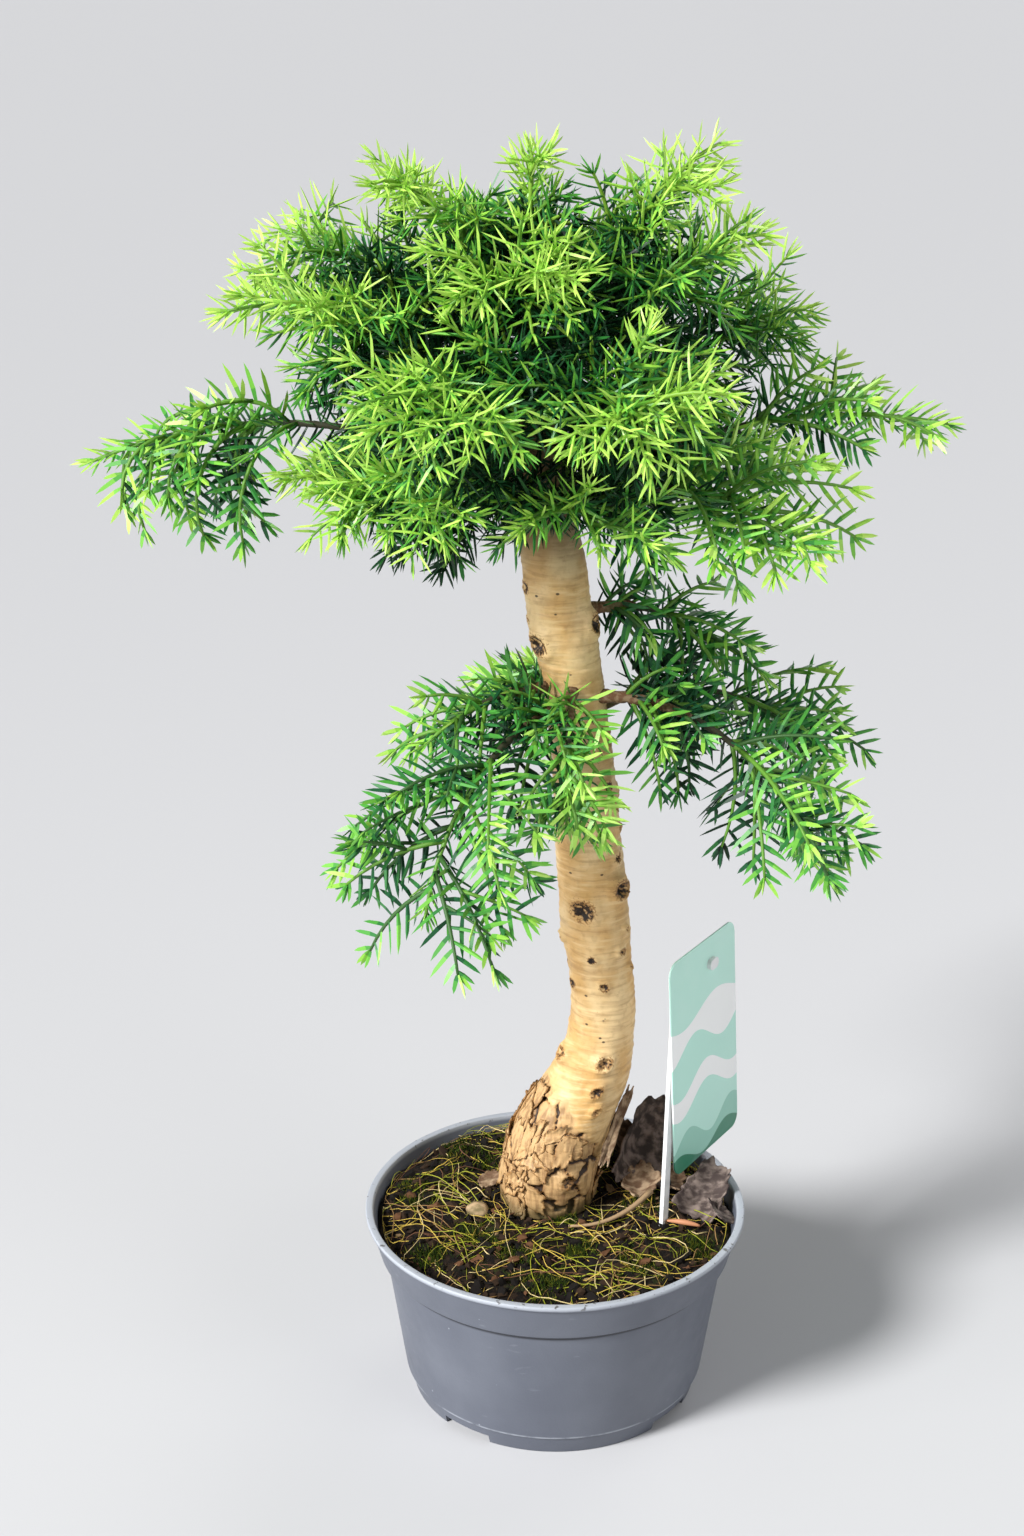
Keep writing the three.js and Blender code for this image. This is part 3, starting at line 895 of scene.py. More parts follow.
def layered(
    place: Vector, coarse: float, fine: float, share: float, offset: Sequence[float] = (0, 0, 0)
) -> float:
    """Noise about nought in a coarse layer and a share of a fine one, each by its scale, past an offset."""
    start = Vector(offset)
    return noise.noise(place * coarse + start) + share * noise.noise(place * fine + start)


@dataclass(frozen=True)
class Tear:
    """How the edge of a sheet is torn: how deep, from which share of the way out, and its lost corners."""

    depth: float
    start: float
    corners: float

    @staticmethod
    def edge(place: Vector) -> float:
        """How near a place on a sheet one wide and one long is to its edge, from nought to one."""
        return 2 * max(abs(place.x), abs(place.y))

    def share(self, place: Vector, offset: Sequence[float]) -> float:
        """How far out a place on a sheet one wide and one long stays.

        Args:
            place: The place.
            offset: Where in the noise the sheet begins.

        Returns:
            The share of its distance from the middle.
        """
        ragged = layered(place, 4, 9, 0.5, offset)
        torn = self.depth * step(self.start, 1, self.edge(place)) * (1 + ragged)
        return 1 - torn - self.corners * (place.x * place.y) ** 2


# Pot and soil


@dataclass
class Pot:
    """The pot: a turned shell with a rolled lip, a rim band, a step above its foot, and a notched foot."""

    rim_radius: float = 70
    height: float = 72
    lip_height: float = 2.4
    lip_width: float = 2.6
    band_foot: float = 55.5
    band_foot_radius: float = 65
    wall_top_radius: float = 62.8
    step_height: float = 7
    step_radius: float = 55.7
    step_inset: float = 0.9
    foot_radius: float = 53
    foot_width: float = 3
    wall: float = 1.3
    floor: float = 2
    recess: float = 2.5
    pad_radius: float = 18
    notches: int = 4
    notch_width: float = 20
    notch_height: float = 3.5
    notch_azimuth: float = -37.5
    steps: int = 168
    rounding: float = 0.45
    rim_wobble: float = 0.35
    wobble_scales: Pair = (0.045, 0.2)
    wobble_share: float = 0.4
    out_of_round: float = 0.004
    round_scale: float = 0.02
    order_weights: Triple = (1, 331, 109561)

    def profile(self) -> list[Pair]:
        """The turned outline, from the middle of the underside to the middle of the inner floor.

        Returns:
            Radii and heights.
        """
        inner_floor = self.recess + self.floor
        slope = (self.wall_top_radius - self.step_radius) / (self.band_foot - self.step_height)
        inner_floor_radius = self.step_radius - self.wall + slope * (inner_floor - self.step_height)
        lip_foot = self.height - self.lip_height
        return [
            (0, 0),
            (self.pad_radius, 0),
            (self.pad_radius, self.recess),
            (self.foot_radius - self.foot_width, self.recess),
            (self.foot_radius - self.foot_width, 0),
            (self.foot_radius, 0),
            (self.step_radius - self.step_inset, self.step_height),
            (self.step_radius, self.step_height + self.step_inset / 2),
            (self.wall_top_radius, self.band_foot),
            (self.band_foot_radius, self.band_foot + self.step_inset),
            (self.rim_radius - self.lip_width + self.wall, lip_foot),
            (self.rim_radius, lip_foot + self.lip_height / 4),
            (self.rim_radius, self.height),
            (self.rim_radius - self.lip_width, self.height),
            (self.band_foot_radius - self.wall, self.band_foot + self.step_inset),
            (self.wall_top_radius - self.wall, self.band_foot),
            (inner_floor_radius, inner_floor),
            (0, inner_floor),
        ]

    def notch_cutter(self) -> Piece:
        """The blocks that cut the foot's notches.

        Returns:
            One object of all the blocks.
        """
        blocks = bmesh.new()
        size = Matrix.Diagonal((4 * self.foot_width, self.notch_width, 2 * self.notch_height, 1))
        for index in range(self.notches):
            azimuth = math.radians(self.notch_azimuth + index * 360 / self.notches)
            turn = Matrix.Rotation(azimuth, 4, "Z") @ Matrix.Translation((self.foot_radius, 0, 0))
            bmesh.ops.create_cube(blocks, size=1, matrix=turn @ size)
        return placed("notch_cutter", as_mesh("notch_cutter", blocks))

    def order(self, item: bmesh.types.BMVert | bmesh.types.BMFace) -> float:
        """A number that puts points or faces in the same order in every run."""
        place = item.co if isinstance(item, bmesh.types.BMVert) else item.calc_center_median()
        return place.dot(Vector(self.order_weights))

    def shell(self) -> Shape:
        """The turned shell with its notches cut and its rim a little uneven.

        Returns:
            The shell.
        """
        turned = spun(self.profile(), self.steps, self.rounding)
        blank = placed("pot_blank", as_mesh("pot_blank", turned))
        cutter = self.notch_cutter()
        cut = blank.modifiers.new("notches", "BOOLEAN")
        cut.operation = "DIFFERENCE"
        cut.solver = "EXACT"
        cut.object = cutter
        cut_mesh = blank.evaluated_get(bpy.context.evaluated_depsgraph_get()).to_mesh()
        shape = bmesh.new()
        shape.from_mesh(cut_mesh)
        blank.to_mesh_clear()
        for item in (blank, cutter):
            bpy.data.objects.remove(item)
        for items in (shape.verts, shape.faces):
            items.sort(key=self.order)
        for vertex in shape.verts:
            share = step(self.band_foot, self.height, vertex.co.z)
            wobble = layered(vertex.co, *self.wobble_scales, self.wobble_share)
            vertex.co.z += min(self.rim_wobble * share * wobble, 0)
            bulge = noise.noise(Vector((vertex.co.x, vertex.co.y, 0)) * self.round_scale)
            vertex.co.xy *= 1 - self.out_of_round * share * bulge
        return shape

    def build(self) -> Iterator[Piece]:
        """Yields the pot."""
        yield publish("pot_shell", self.shell(), [PotPlastic()], Slot.POT, ["pot"], crease=40)


@dataclass
class Soil:
    """The soil in the pot, with crumbs, chips and moss on it.

    A patch of moss is its middle and its spread, and a mound is its middle, its spread and its rise.
    """

    level: float = 66
    edge_level: float = 64.5
    level_radius: float = 50
    edge_radius: float = 65.3
    wall_radius: float = 61.2
    wall_foot: float = 55.5
    floor_radius: float = 53.6
    floor_level: float = 4.8
    rings: int = 62
    steps: int = 220
    margin: float = 2
    roughness: float = 1.5
    lump_scale: float = 0.09
    lump_fractal: tuple[float, float, int] = (0.8, 2.1, 5)
    grit_scale: float = 0.7
    grit_share: float = 0.35
    trunk_foot: Pair = (-2.6, 13)
    trunk_radius: float = 16
    crumbs: int = 1500
    crumb_seed: int = 11
    crumb_roughness: Pair = (0.65, 1.3)
    crumb_smallest: float = 0.45
    crumb_growth: float = 1.7
    crumb_flatness: tuple[float, ...] = (1, 0.8, 0.3)
    crumb_stretch: Pair = (0.8, 1.9)
    crumb_turns: Triple = (0.3, 0.3, 3)
    crumb_lift: float = 0.25
    crumb_shares: tuple[float, ...] = (0.6, 0.29, 0.08, 0.03)
    tufts: int = 1100
    tuft_seed: int = 21
    tuft_spread: float = 0.5
    tuft_depth: float = 0.3
    blades: int = 5
    blade_radius: float = 0.28
    blade_length: Pair = (1.2, 3.2)
    blade_lean: float = 0.9
    blade_scatter: float = 0.7
    blade_shares: tuple[float, ...] = (0.5, 0.35, 0.15)
    patches: tuple[Triple, ...] = (
        (-38, 46, 13), (-22, 34, 9), (34, 9, 8), (2, -3, 7), (-4, -46, 9), (-31, -17, 10), (30, -33, 9),
        (52, -22, 8), (-52, 10, 8), (18, 42, 12), (-14, -28, 7), (8, -24, 6), (44, 34, 9), (-46, -28, 7),
    )
    mounds: tuple[tuple[float, float, float, float], ...] = (
        (-22, 50, 20, 4.4), (-56, 20, 24, 3.4), (22, 52, 18, 3),
    )

    def height(self, x: float, y: float) -> float:
        """The height of the soil at a place.

        Args:
            x: The place along X.
            y: The place along Y.

        Returns:
            The height.
        """
        radius = math.hypot(x, y)
        ground = self.level
        if radius > self.level_radius:
            fall = (radius - self.level_radius) / (self.edge_radius - self.level_radius)
            ground -= (self.level - self.edge_level) * min(fall, 1)
        for middle_x, middle_y, spread, rise in self.mounds:
            ground += rise * math.exp(-((x - middle_x) ** 2 + (y - middle_y) ** 2) / spread**2)
        place = Vector((x, y, 0))
        lumps = noise.fractal(place * self.lump_scale, *self.lump_fractal)
        grit = noise.noise(place * self.grit_scale)
        return ground + self.roughness * (lumps + self.grit_share * grit)

    def clear(self, flat: Array) -> Array:
        """Which of some places, places by 2, are clear of the trunk."""
        return np.linalg.norm(flat - self.trunk_foot, axis=1) > self.trunk_radius

    def spots(self, count: int, seed: int) -> Array:
        """Places spread over the soil, clear of the trunk.

        Args:
            count: How many places to draw.
            seed: The seed of the draw.

        Returns:
            The places that are clear, places by 3.
        """
        draw = np.random.default_rng(seed)
        radius = (self.edge_radius - self.margin) * np.sqrt(draw.random(count))
        turn = draw.random(count) * math.tau
        flat = np.stack([radius * np.cos(turn), radius * np.sin(turn)], 1)
        return np.array([(x, y, self.height(x, y)) for x, y in flat[self.clear(flat)]])

    def body(self) -> Shape:
        """The soil's own solid form with a rough top.

        Returns:
            The form.
        """
        top = [
            (self.edge_radius * (1 - ring / self.rings), self.level) for ring in range(self.rings + 1)
        ]
        floor = [(0, self.floor_level), (self.floor_radius, self.floor_level)]
        shape = spun([*floor, (self.wall_radius, self.wall_foot), *top], self.steps)
        for vertex in shape.verts:
            if vertex.co.z > self.wall_foot + 1:
                vertex.co.z = self.height(vertex.co.x, vertex.co.y)
        return shape

    def crumb_mesh(self) -> Joined:
        """Loose crumbs and flat chips.

        Returns:
            The joined crumbs, in four finishes.
        """
        ball = bmesh.new()
        bmesh.ops.create_icosphere(ball, subdivisions=1, radius=1)
        shape = np.array([vertex.co for vertex in ball.verts])
        triangles = np.array([[vertex.index for vertex in face.verts] for face in ball.faces])
        ball.free()
        places = self.spots(self.crumbs, self.crumb_seed)
        draw = np.random.default_rng(self.crumb_seed + 1)
        count = len(places)
        rough = shape * draw.uniform(*self.crumb_roughness, (count, len(shape), 1))
        size = self.crumb_smallest + self.crumb_growth * draw.random((count, 1, 1)) ** 3
        flatness = draw.choice(self.crumb_flatness, (count, 1))
        stretch = np.stack([draw.uniform(*self.crumb_stretch, (count, 1)), np.ones((count, 1)), flatness], 2)
        turned = turn_about(rough * size * stretch, draw.normal(size=(count, 3)) * self.crumb_turns)
        places[:, 2] += self.crumb_lift * size[:, 0, 0]
        finishes = draw.choice(len(self.crumb_shares), count, p=self.crumb_shares)
        return Joined.copies(turned + places[:, None], triangles, finishes)

    def moss_mesh(self) -> Joined:
        """Tufts of moss in patches, each a few short blades.

        Returns:
            The joined tufts, in three finishes.
        """
        draw = np.random.default_rng(self.tuft_seed)
        patches = np.array(self.patches)
        chosen = patches[draw.choice(len(patches), self.tufts)]
        flat = chosen[:, :2] + draw.normal(size=(self.tufts, 2)) * chosen[:, 2:] * self.tuft_spread
        inside = np.linalg.norm(flat, axis=1) < self.edge_radius - self.margin
        flat = flat[inside & self.clear(flat)]
        places = np.array([(x, y, self.height(x, y) - self.tuft_depth) for x, y in flat])
        turn = np.arange(3) * math.tau / 3
        foot = np.stack([self.blade_radius * np.cos(turn), self.blade_radius * np.sin(turn), np.zeros(3)], 1)
        blade = np.concatenate([foot, [(0, 0, 1)]])
        triangles = np.array([(0, 1, 3), (1, 2, 3), (2, 0, 3), (2, 1, 0)])
        roots = np.repeat(places, self.blades, 0)
        count = len(roots)
        shape = np.tile(blade, (count, 1, 1))
        shape[:, 3] *= draw.uniform(*self.blade_length, (count, 1))
        shape[:, 3, :2] += draw.normal(size=(count, 2)) * self.blade_lean
        shape[:, :, :2] += draw.normal(size=(count, 1, 2)) * self.blade_scatter
        finishes = draw.choice(len(self.blade_shares), count, p=self.blade_shares)
        return Joined.copies(shape + roots[:, None], triangles, finishes)

    def build(self) -> Iterator[Piece]:
        """Builds the soil.

        Yields:
            The soil, its crumbs and its moss.
        """
        yield publish("soil_body", self.body(), [PottingSoil()], Slot.SOIL, ["soil"])
        browns = [
            Tint("crumb_black", (0.008, 0.006, 0.005), 0.9, 0.2),
            Tint("crumb_brown", (0.032, 0.018, 0.010), 0.9, 0.2),
            Tint("crumb_rust", (0.12, 0.055, 0.025), 0.85, 0.2),
            Tint("crumb_tan", (0.26, 0.17, 0.085), 0.8, 0.2),
        ]
        yield publish("soil_crumbs", self.crumb_mesh(), browns, Slot.SOIL, crease=30)
        greens = [
            Tint("moss_dark", (0.022, 0.042, 0.006), 0.8, 0.2),
            Tint("moss_green", (0.065, 0.105, 0.010), 0.8, 0.2),
            Tint("moss_yellow", (0.2, 0.2, 0.02), 0.8, 0.2),
        ]
        yield publish("soil_moss", self.moss_mesh(), greens, Slot.SOIL, crease=30)


@dataclass(frozen=True)
class Scrap:
    """A dead scrap: its middle, its turn about X, Y and Z, its size, and how it is curled and cupped."""

    name: str
    centre: Triple
    turn: Triple
    size: Pair
    curl: float
    cup: float
    finish: DryLeaf


@dataclass
class Litter:
    """What lies on the soil: rootlets, dead scraps, a bent twig, a fallen needle and a pebble."""

    soil: Soil
    rootlets: int = 380
    rootlet_points: int = 12
    rootlet_radius: Pair = (0.12, 0.28)
    rootlet_length: Pair = (10, 58)
    rootlet_hump: float = 4.2
    rootlet_seed: int = 31
    rootlet_taper: float = 0.55
    rootlet_bend: float = 1.1
    rootlet_twist: float = 0.6
    twist_turns: float = 5
    rootlet_margin: float = 1.5
    rootlet_lift: float = 0.2
    hump_shares: Pair = (0.2, 1)
    hump_turns: Pair = (0.7, 1.4)
    rootlet_shares: tuple[float, ...] = (0.36, 0.14, 0.26, 0.14, 0.10)
    scrap_thickness: float = 0.55
    scrap_grid: int = 26
    scrap_tear: Tear = Tear(depth=0.22, start=0.4, corners=1.6)
    scrap_narrowing: float = 0.45
    scrap_step: float = 7.3
    crease_width: float = 0.5
    crease_rise: float = 0.7
    stick_line: tuple[Triple, ...] = ((5, -9.5, 67.4), (22, -11.5, 67.6), (36, 5, 73.5))
    stick_radii: Pair = (0.5, 1.2)
    needle_ends: tuple[Triple, ...] = ((40.7, -6.2, 67.6), (53.3, -10.3, 67.9))
    needle_bow: Triple = (0, -0.6, 0.9)
    needle_radii: Pair = (0.25, 1.1)
    needle_swell: float = 2.9
    twig_points: int = 14
    twig_sides: int = 6
    pebble_unevenness: float = 0.14
    pebble_scale: float = 1.3
    pebble_centre: Triple = (-28.4, 2, 67.2)
    pebble_size: Triple = (4.4, 3.6, 3.2)
    bark_scrap: DryLeaf = DryLeaf("dead_bark", (0.042, 0.031, 0.027, 1), (0.20, 0.152, 0.13, 1))
    grey_scrap: DryLeaf = DryLeaf("dead_leaf", (0.07, 0.05, 0.045, 1), (0.27, 0.21, 0.18, 1))
    tan_scrap: DryLeaf = DryLeaf("dead_husk", (0.14, 0.08, 0.045, 1), (0.42, 0.30, 0.19, 1))

    def scraps(self) -> list[Scrap]:
        """The dead scraps about the foot of the trunk.

        Returns:
            The scraps.
        """
        return [
            Scrap("upright", (35, 22, 86), (76, 24, 20), (29, 43), 70, 3.0, self.bark_scrap),
            Scrap("behind", (27, 33, 79), (70, -12, 150), (22, 30), 50, 2.5, self.bark_scrap),
            Scrap("by_wall", (56.5, 6, 72.5), (38, 16, -28), (22, 29), 120, 2.0, self.grey_scrap),
            Scrap("on_rim", (61, -4, 69.5), (20, 26, 40), (14, 15), 70, 1.6, self.grey_scrap),
            Scrap("husk", (32, 13, 73), (30, -20, 35), (20, 15), 120, 2.4, self.tan_scrap),
            Scrap("strip", (22.4, 4.5, 101), (74, 22, 4), (4.6, 38), 60, 1.0, self.tan_scrap),
            Scrap("flat", (41, 22, 69), (8, -10, 70), (16, 22), 60, 1.5, self.tan_scrap),
            Scrap("left", (-24, 20, 69.4), (18, -14, 20), (12, 8), 80, 1.0, self.tan_scrap),
            Scrap("far", (-8, 50, 71.6), (10, 12, -30), (18, 9), 60, 1.2, self.bark_scrap),
        ]

    def scrap_shape(self, scrap: Scrap, seed: int) -> Shape:
        """A curled sheet with a ragged edge.

        Args:
            scrap: The scrap.
            seed: The seed of its ragged edge.

        Returns:
            The sheet, in place.
        """
        shape = bmesh.new()
        cuts = self.scrap_grid
        bmesh.ops.create_grid(shape, x_segments=cuts, y_segments=cuts, size=0.5)
        width, length = scrap.size
        bend = math.radians(scrap.curl)
        radius = width / bend
        offset = (seed * self.scrap_step, 0, 0)
        for vertex in shape.verts:
            across, along = vertex.co.x, vertex.co.y
            torn = self.scrap_tear.share(vertex.co, offset)
            across, along = across * torn * (1 - self.scrap_narrowing * along), along * torn
            crease = layered(vertex.co, 3, 8, 0.4, offset)
            cupped = scrap.cup * (4 * along * along + self.crease_rise * crease)
            vertex.co = Vector((
                (radius + self.crease_width * crease) * math.sin(bend * across),
                along * length,
                radius * (1 - math.cos(bend * across)) + cupped,
            ))
        turn = Euler([math.radians(part) for part in scrap.turn]).to_matrix().to_4x4()
        bmesh.ops.transform(shape, matrix=Matrix.Translation(scrap.centre) @ turn, verts=shape.verts)
        return shape

    def rootlet_mesh(self) -> Joined:
        """Thin bent rootlets and straws on the soil.

        Returns:
            The joined rootlets, in five finishes.
        """
        draw = np.random.default_rng(self.rootlet_seed)
        shares = np.linspace(0, 1, self.rootlet_points)
        taper = 1 - self.rootlet_taper * shares
        tubes = []
        for start in self.soil.spots(self.rootlets, self.rootlet_seed + 1):
            heading = draw.uniform(0, math.tau)
            bend = draw.normal() * self.rootlet_bend
            twist = draw.normal() * self.rootlet_twist
            length = draw.uniform(*self.rootlet_length)
            ways = heading + bend * shares + twist * np.sin(shares * self.twist_turns)
            flat = np.cumsum(np.stack([np.cos(ways), np.sin(ways)], 1), 0) * length / self.rootlet_points
            flat += start[:2]
            reach = np.linalg.norm(flat, axis=1, keepdims=True)
            flat *= np.minimum(1, (self.soil.edge_radius - self.rootlet_margin) / np.maximum(reach, 1))
            hump = draw.uniform(*self.hump_shares) ** 2 * self.rootlet_hump
            turns = draw.uniform(*self.hump_turns)
            rise = self.rootlet_lift + hump * np.sin(shares * math.pi * turns) ** 2
            ground = [self.soil.height(x, y) for x, y in flat]
            line = np.column_stack([flat, np.array(ground) + rise])
            radius = draw.uniform(*self.rootlet_radius)
            finish = draw.choice(len(self.rootlet_shares), p=self.rootlet_shares)
            finishes = np.full(self.rootlet_points, finish)
            tubes.append(tube(line, radius * taper, 3, np.array((0.13, 0.21, 1.0)), finishes))
        return Joined.of(tubes)

    def twig_mesh(self) -> Joined:
        """A bent dry twig and a fallen needle.

        Returns:
            Both, in two finishes.
        """
        shares = np.linspace(0, 1, self.twig_points)
        share = shares[:, None]
        across = np.array((0.1, 0.2, 1.0))
        finish = np.zeros(self.twig_points, int)
        first, middle, last = np.array(self.stick_line)
        line = (1 - share) ** 2 * first + 2 * share * (1 - share) * middle + share**2 * last
        thin, thick = self.stick_radii
        stick = tube(line, thin + (thick - thin) * shares, self.twig_sides, across, finish)
        root, tip = np.array(self.needle_ends)
        line = root + share * (tip - root) + np.sin(share * math.pi) * self.needle_bow
        thin, thick = self.needle_radii
        radii = thin + (thick - thin) * np.sin(shares * self.needle_swell)
        needle = tube(line, radii, self.twig_sides, across, finish + 1)
        return Joined.of([stick, needle])

    def pebble_shape(self) -> Shape:
        """A rounded pebble.

        Returns:
            The pebble, in place.
        """
        shape = bmesh.new()
        bmesh.ops.create_icosphere(shape, subdivisions=4, radius=1)
        for vertex in shape.verts:
            vertex.co *= 1 + self.pebble_unevenness * noise.noise(vertex.co * self.pebble_scale)
        bmesh.ops.scale(shape, vec=self.pebble_size, verts=shape.verts)
        bmesh.ops.translate(shape, vec=self.pebble_centre, verts=shape.verts)
        return shape

    def build(self) -> Iterator[Piece]:
        """Builds the litter.

        Yields:
            The rootlets, the scraps, the twig with the needle, and the pebble.
        """
        straws = [
            Tint("rootlet_straw", (0.66, 0.47, 0.08), 0.6),
            Tint("rootlet_pale", (0.76, 0.60, 0.28), 0.6),
            Tint("rootlet_olive", (0.33, 0.35, 0.025), 0.6),
            Tint("rootlet_tan", (0.30, 0.17, 0.06), 0.7),
            Tint("rootlet_rust", (0.16, 0.07, 0.035), 0.7),
        ]
        yield publish("soil_rootlets", self.rootlet_mesh(), straws, Slot.SOIL)
        for seed, scrap in enumerate(self.scraps()):
            sheet = self.scrap_shape(scrap, seed)
            name = f"scrap_{scrap.name}"
            yield publish(name, sheet, [scrap.finish], Slot.SOIL, thickness=self.scrap_thickness)
        dry = [Tint("dry_twig", (0.36, 0.24, 0.13), 0.7), Tint("fallen_needle", (0.50, 0.22, 0.11), 0.6)]
        yield publish("fallen_twig_and_needle", self.twig_mesh(), dry, Slot.SOIL)
        stone = DryLeaf("pebble", (0.20, 0.155, 0.075, 1), (0.47, 0.33, 0.19, 1))
        yield publish("pebble", self.pebble_shape(), [stone], Slot.SOIL)


# Trunk and boughs


@dataclass(frozen=True)
class Knot:
    """A scar or nub on the trunk: its height, azimuth and radius, how far it stands out, how dark it is."""

    height: float
    azimuth: float
    radius: float
    rise: float
    dark: float


@dataclass
class Trunk:
    """The leaning trunk with its bark: rings, scars and nubs, and peeling plates at its swollen foot.

    A section is its height, its middle along X and Y, and its radius.
    """

    sections: tuple[tuple[float, float, float, float], ...] = (
        (66.3, -2.6, 13, 17.6),
        (80, -1.4, 13, 18.4),
        (103, 4.8, 13, 17.8),
        (120, 12.6, 12.5, 14.8),
        (136, 16.6, 12, 12.3),
        (190, 13.2, 11, 12.1),
        (262, 6.6, 10, 10.5),
        (308, -0.8, 8, 11.2),
        (350, -7, 6, 8.5),
        (392, -9.5, 4, 4.2),
    )
    knots: tuple[Knot, ...] = (
        Knot(308, 206, 3.0, 0.8, 0.9), Knot(288, 218, 5.2, 1.8, 1), Knot(295, 338, 4.6, 1.8, 1),
        Knot(296, 200, 2.0, 0.9, 0.6), Knot(236, 317, 2.6, 0.8, 1), Knot(227, 336, 1.8, 1.4, 0.5),
        Knot(219, 340, 1.7, 1.4, 0.5), Knot(209, 322, 2.4, 1.0, 0.9), Knot(197, 322, 4.6, 2.2, 1),
        Knot(190, 251, 5.4, 1.3, 1), Knot(176, 188, 2.1, 1.4, 0.6), Knot(171, 258, 1.9, 0.9, 1),
        Knot(173, 314, 2.0, 1.2, 0.8), Knot(159, 210, 2.6, 0.9, 0.9), Knot(160, 274, 2.2, 1.0, 1),
        Knot(130, 198, 3.6, 2.0, 0.7), Knot(130, 279, 3.8, 1.5, 0.8), Knot(119, 280, 2.8, 1.1, 1),
        Knot(111, 292, 2.2, 1.4, 0.6), Knot(181, 330, 1.6, 1.2, 0.5), Knot(165, 336, 1.5, 1.2, 0.5),
        Knot(246, 250, 1.5, 0.6, 0.8), Knot(203, 70, 4.6, 1.4, 1), Knot(255, 130, 3.6, 1.2, 1),
        Knot(150, 40, 3.8, 1.4, 1), Knot(178, 128, 2.8, 1.2, 0.8), Knot(231, 20, 3.0, 1.2, 0.9),
        Knot(300, 90, 4.0, 1.3, 1), Knot(139, 100, 2.8, 1.1, 0.9), Knot(83, 288, 3.6, 1.4, 1),
    )
    rings: tuple[float, ...] = (
        124, 133, 142, 151, 160, 165, 172, 181, 200, 214, 226, 241, 252, 268, 281, 300,
    )
    sides: int = 120
    rows: int = 440
    seed: int = 8
    lump_rise: float = 0.8
    lump_scale: float = 0.06
    ripple_rise: float = 0.24
    ripple_scales: Triple = (0.07, 0.07, 0.75)
    ripple_fractal: tuple[float, float, int] = (0.7, 2, 3)
    ring_rise: float = 0.2
    ring_cut: float = 0.7
    ring_swell: float = 1.1
    ring_gap: float = 1.6
    ring_sway: float = 2.2
    sway_scales: Triple = (0.08, 0.08, 0.024)
    nub_rise: float = 0.7
    nub_scale: float = 0.12
    nub_radius: float = 0.16
    nub_lot: float = 0.15
    lot_scale: float = 9.1
    knot_collar: float = 0.75
    knot_collar_width: float = 0.5
    knot_pit: float = 0.8
    knot_pit_width: float = 0.45
    knot_roughness: float = 0.5
    knot_scale: float = 1.1
    scar_width: float = 0.85
    scar_gaps: Pair = (-0.6, 0.05)
    plate_top: float = 100
    plate_slant: float = 18
    plate_azimuth: float = 205
    plate_edge: float = 1.6
    plate_fraying: float = 8
    fray_scales: Pair = (0.11, 0.36)
    plate_depth: float = 1.7
    plate_level: float = 0.85
    plate_size: Triple = (14, 14, 22)
    plate_warps: tuple[Pair, ...] = ((0.1, 3.5), (0.45, 0.8))
    layer_scale: float = 5.7
    fibre_rise: float = 0.2
    fibre_scales: Triple = (0.8, 0.8, 0.13)
    fibre_fractal: tuple[float, float, int] = (0.8, 2, 3)
    crack_depth: float = 1.5
    crack_width: Pair = (0.01, 0.09)

    def at(self, height: float) -> tuple[Array, float]:
        """The middle and radius of the level section at a height.

        Args:
            height: The height.

        Returns:
            The middle and the radius.
        """
        table = np.array(self.sections)
        heights, values = table[:, 0], table[:, 1:]
        slopes = np.diff(values, axis=0) / np.diff(heights)[:, None]
        bends = np.concatenate([slopes[:1], (slopes[1:] + slopes[:-1]) / 2, slopes[-1:]])
        i = int(np.clip(np.searchsorted(heights, height) - 1, 0, len(heights) - 2))
        span = heights[i + 1] - heights[i]
        t = (height - heights[i]) / span
        x, y, radius = (
            (2 * t**3 - 3 * t**2 + 1) * values[i]
            + (t**3 - 2 * t**2 + t) * span * bends[i]
            + (3 * t**2 - 2 * t**3) * values[i + 1]
            + (t**3 - t**2) * span * bends[i + 1]
        )
        return np.array((x, y, height)), radius

    def plating(self, height: float, azimuth: float) -> float:
        """How far the peeling plates cover a place, from nought to one."""
        top = self.plate_top + self.plate_slant * math.cos(azimuth - math.radians(self.plate_azimuth))
        return 1 - step(top - self.plate_edge, top + self.plate_edge, height)

    def skin(self, spot: Vector) -> float:
        """How far the papery bark stands out, with its lumps, its level rings and its nubs.

        Args:
            spot: The place on the smooth trunk.

        Returns:
            The distance outward.
        """
        ripple = noise.fractal(spot * Vector(self.ripple_scales), *self.ripple_fractal)
        out = self.lump_rise * noise.noise(spot * self.lump_scale) + self.ripple_rise * ripple
        sway = self.ring_sway * noise.noise(spot * Vector(self.sway_scales))
        for ring in self.rings:
            above = spot.z - ring - sway
            swell = bell(above + self.ring_gap, self.ring_swell)
            out += self.ring_rise * (swell - bell(above, self.ring_cut))
        (near, _, _, _), (cell, _, _, _) = noise.voronoi(spot * self.nub_scale)
        if noise.noise(cell * self.lot_scale) > self.nub_lot:
            out += self.nub_rise * max(0.0, 1 - near / self.nub_radius)
        return out

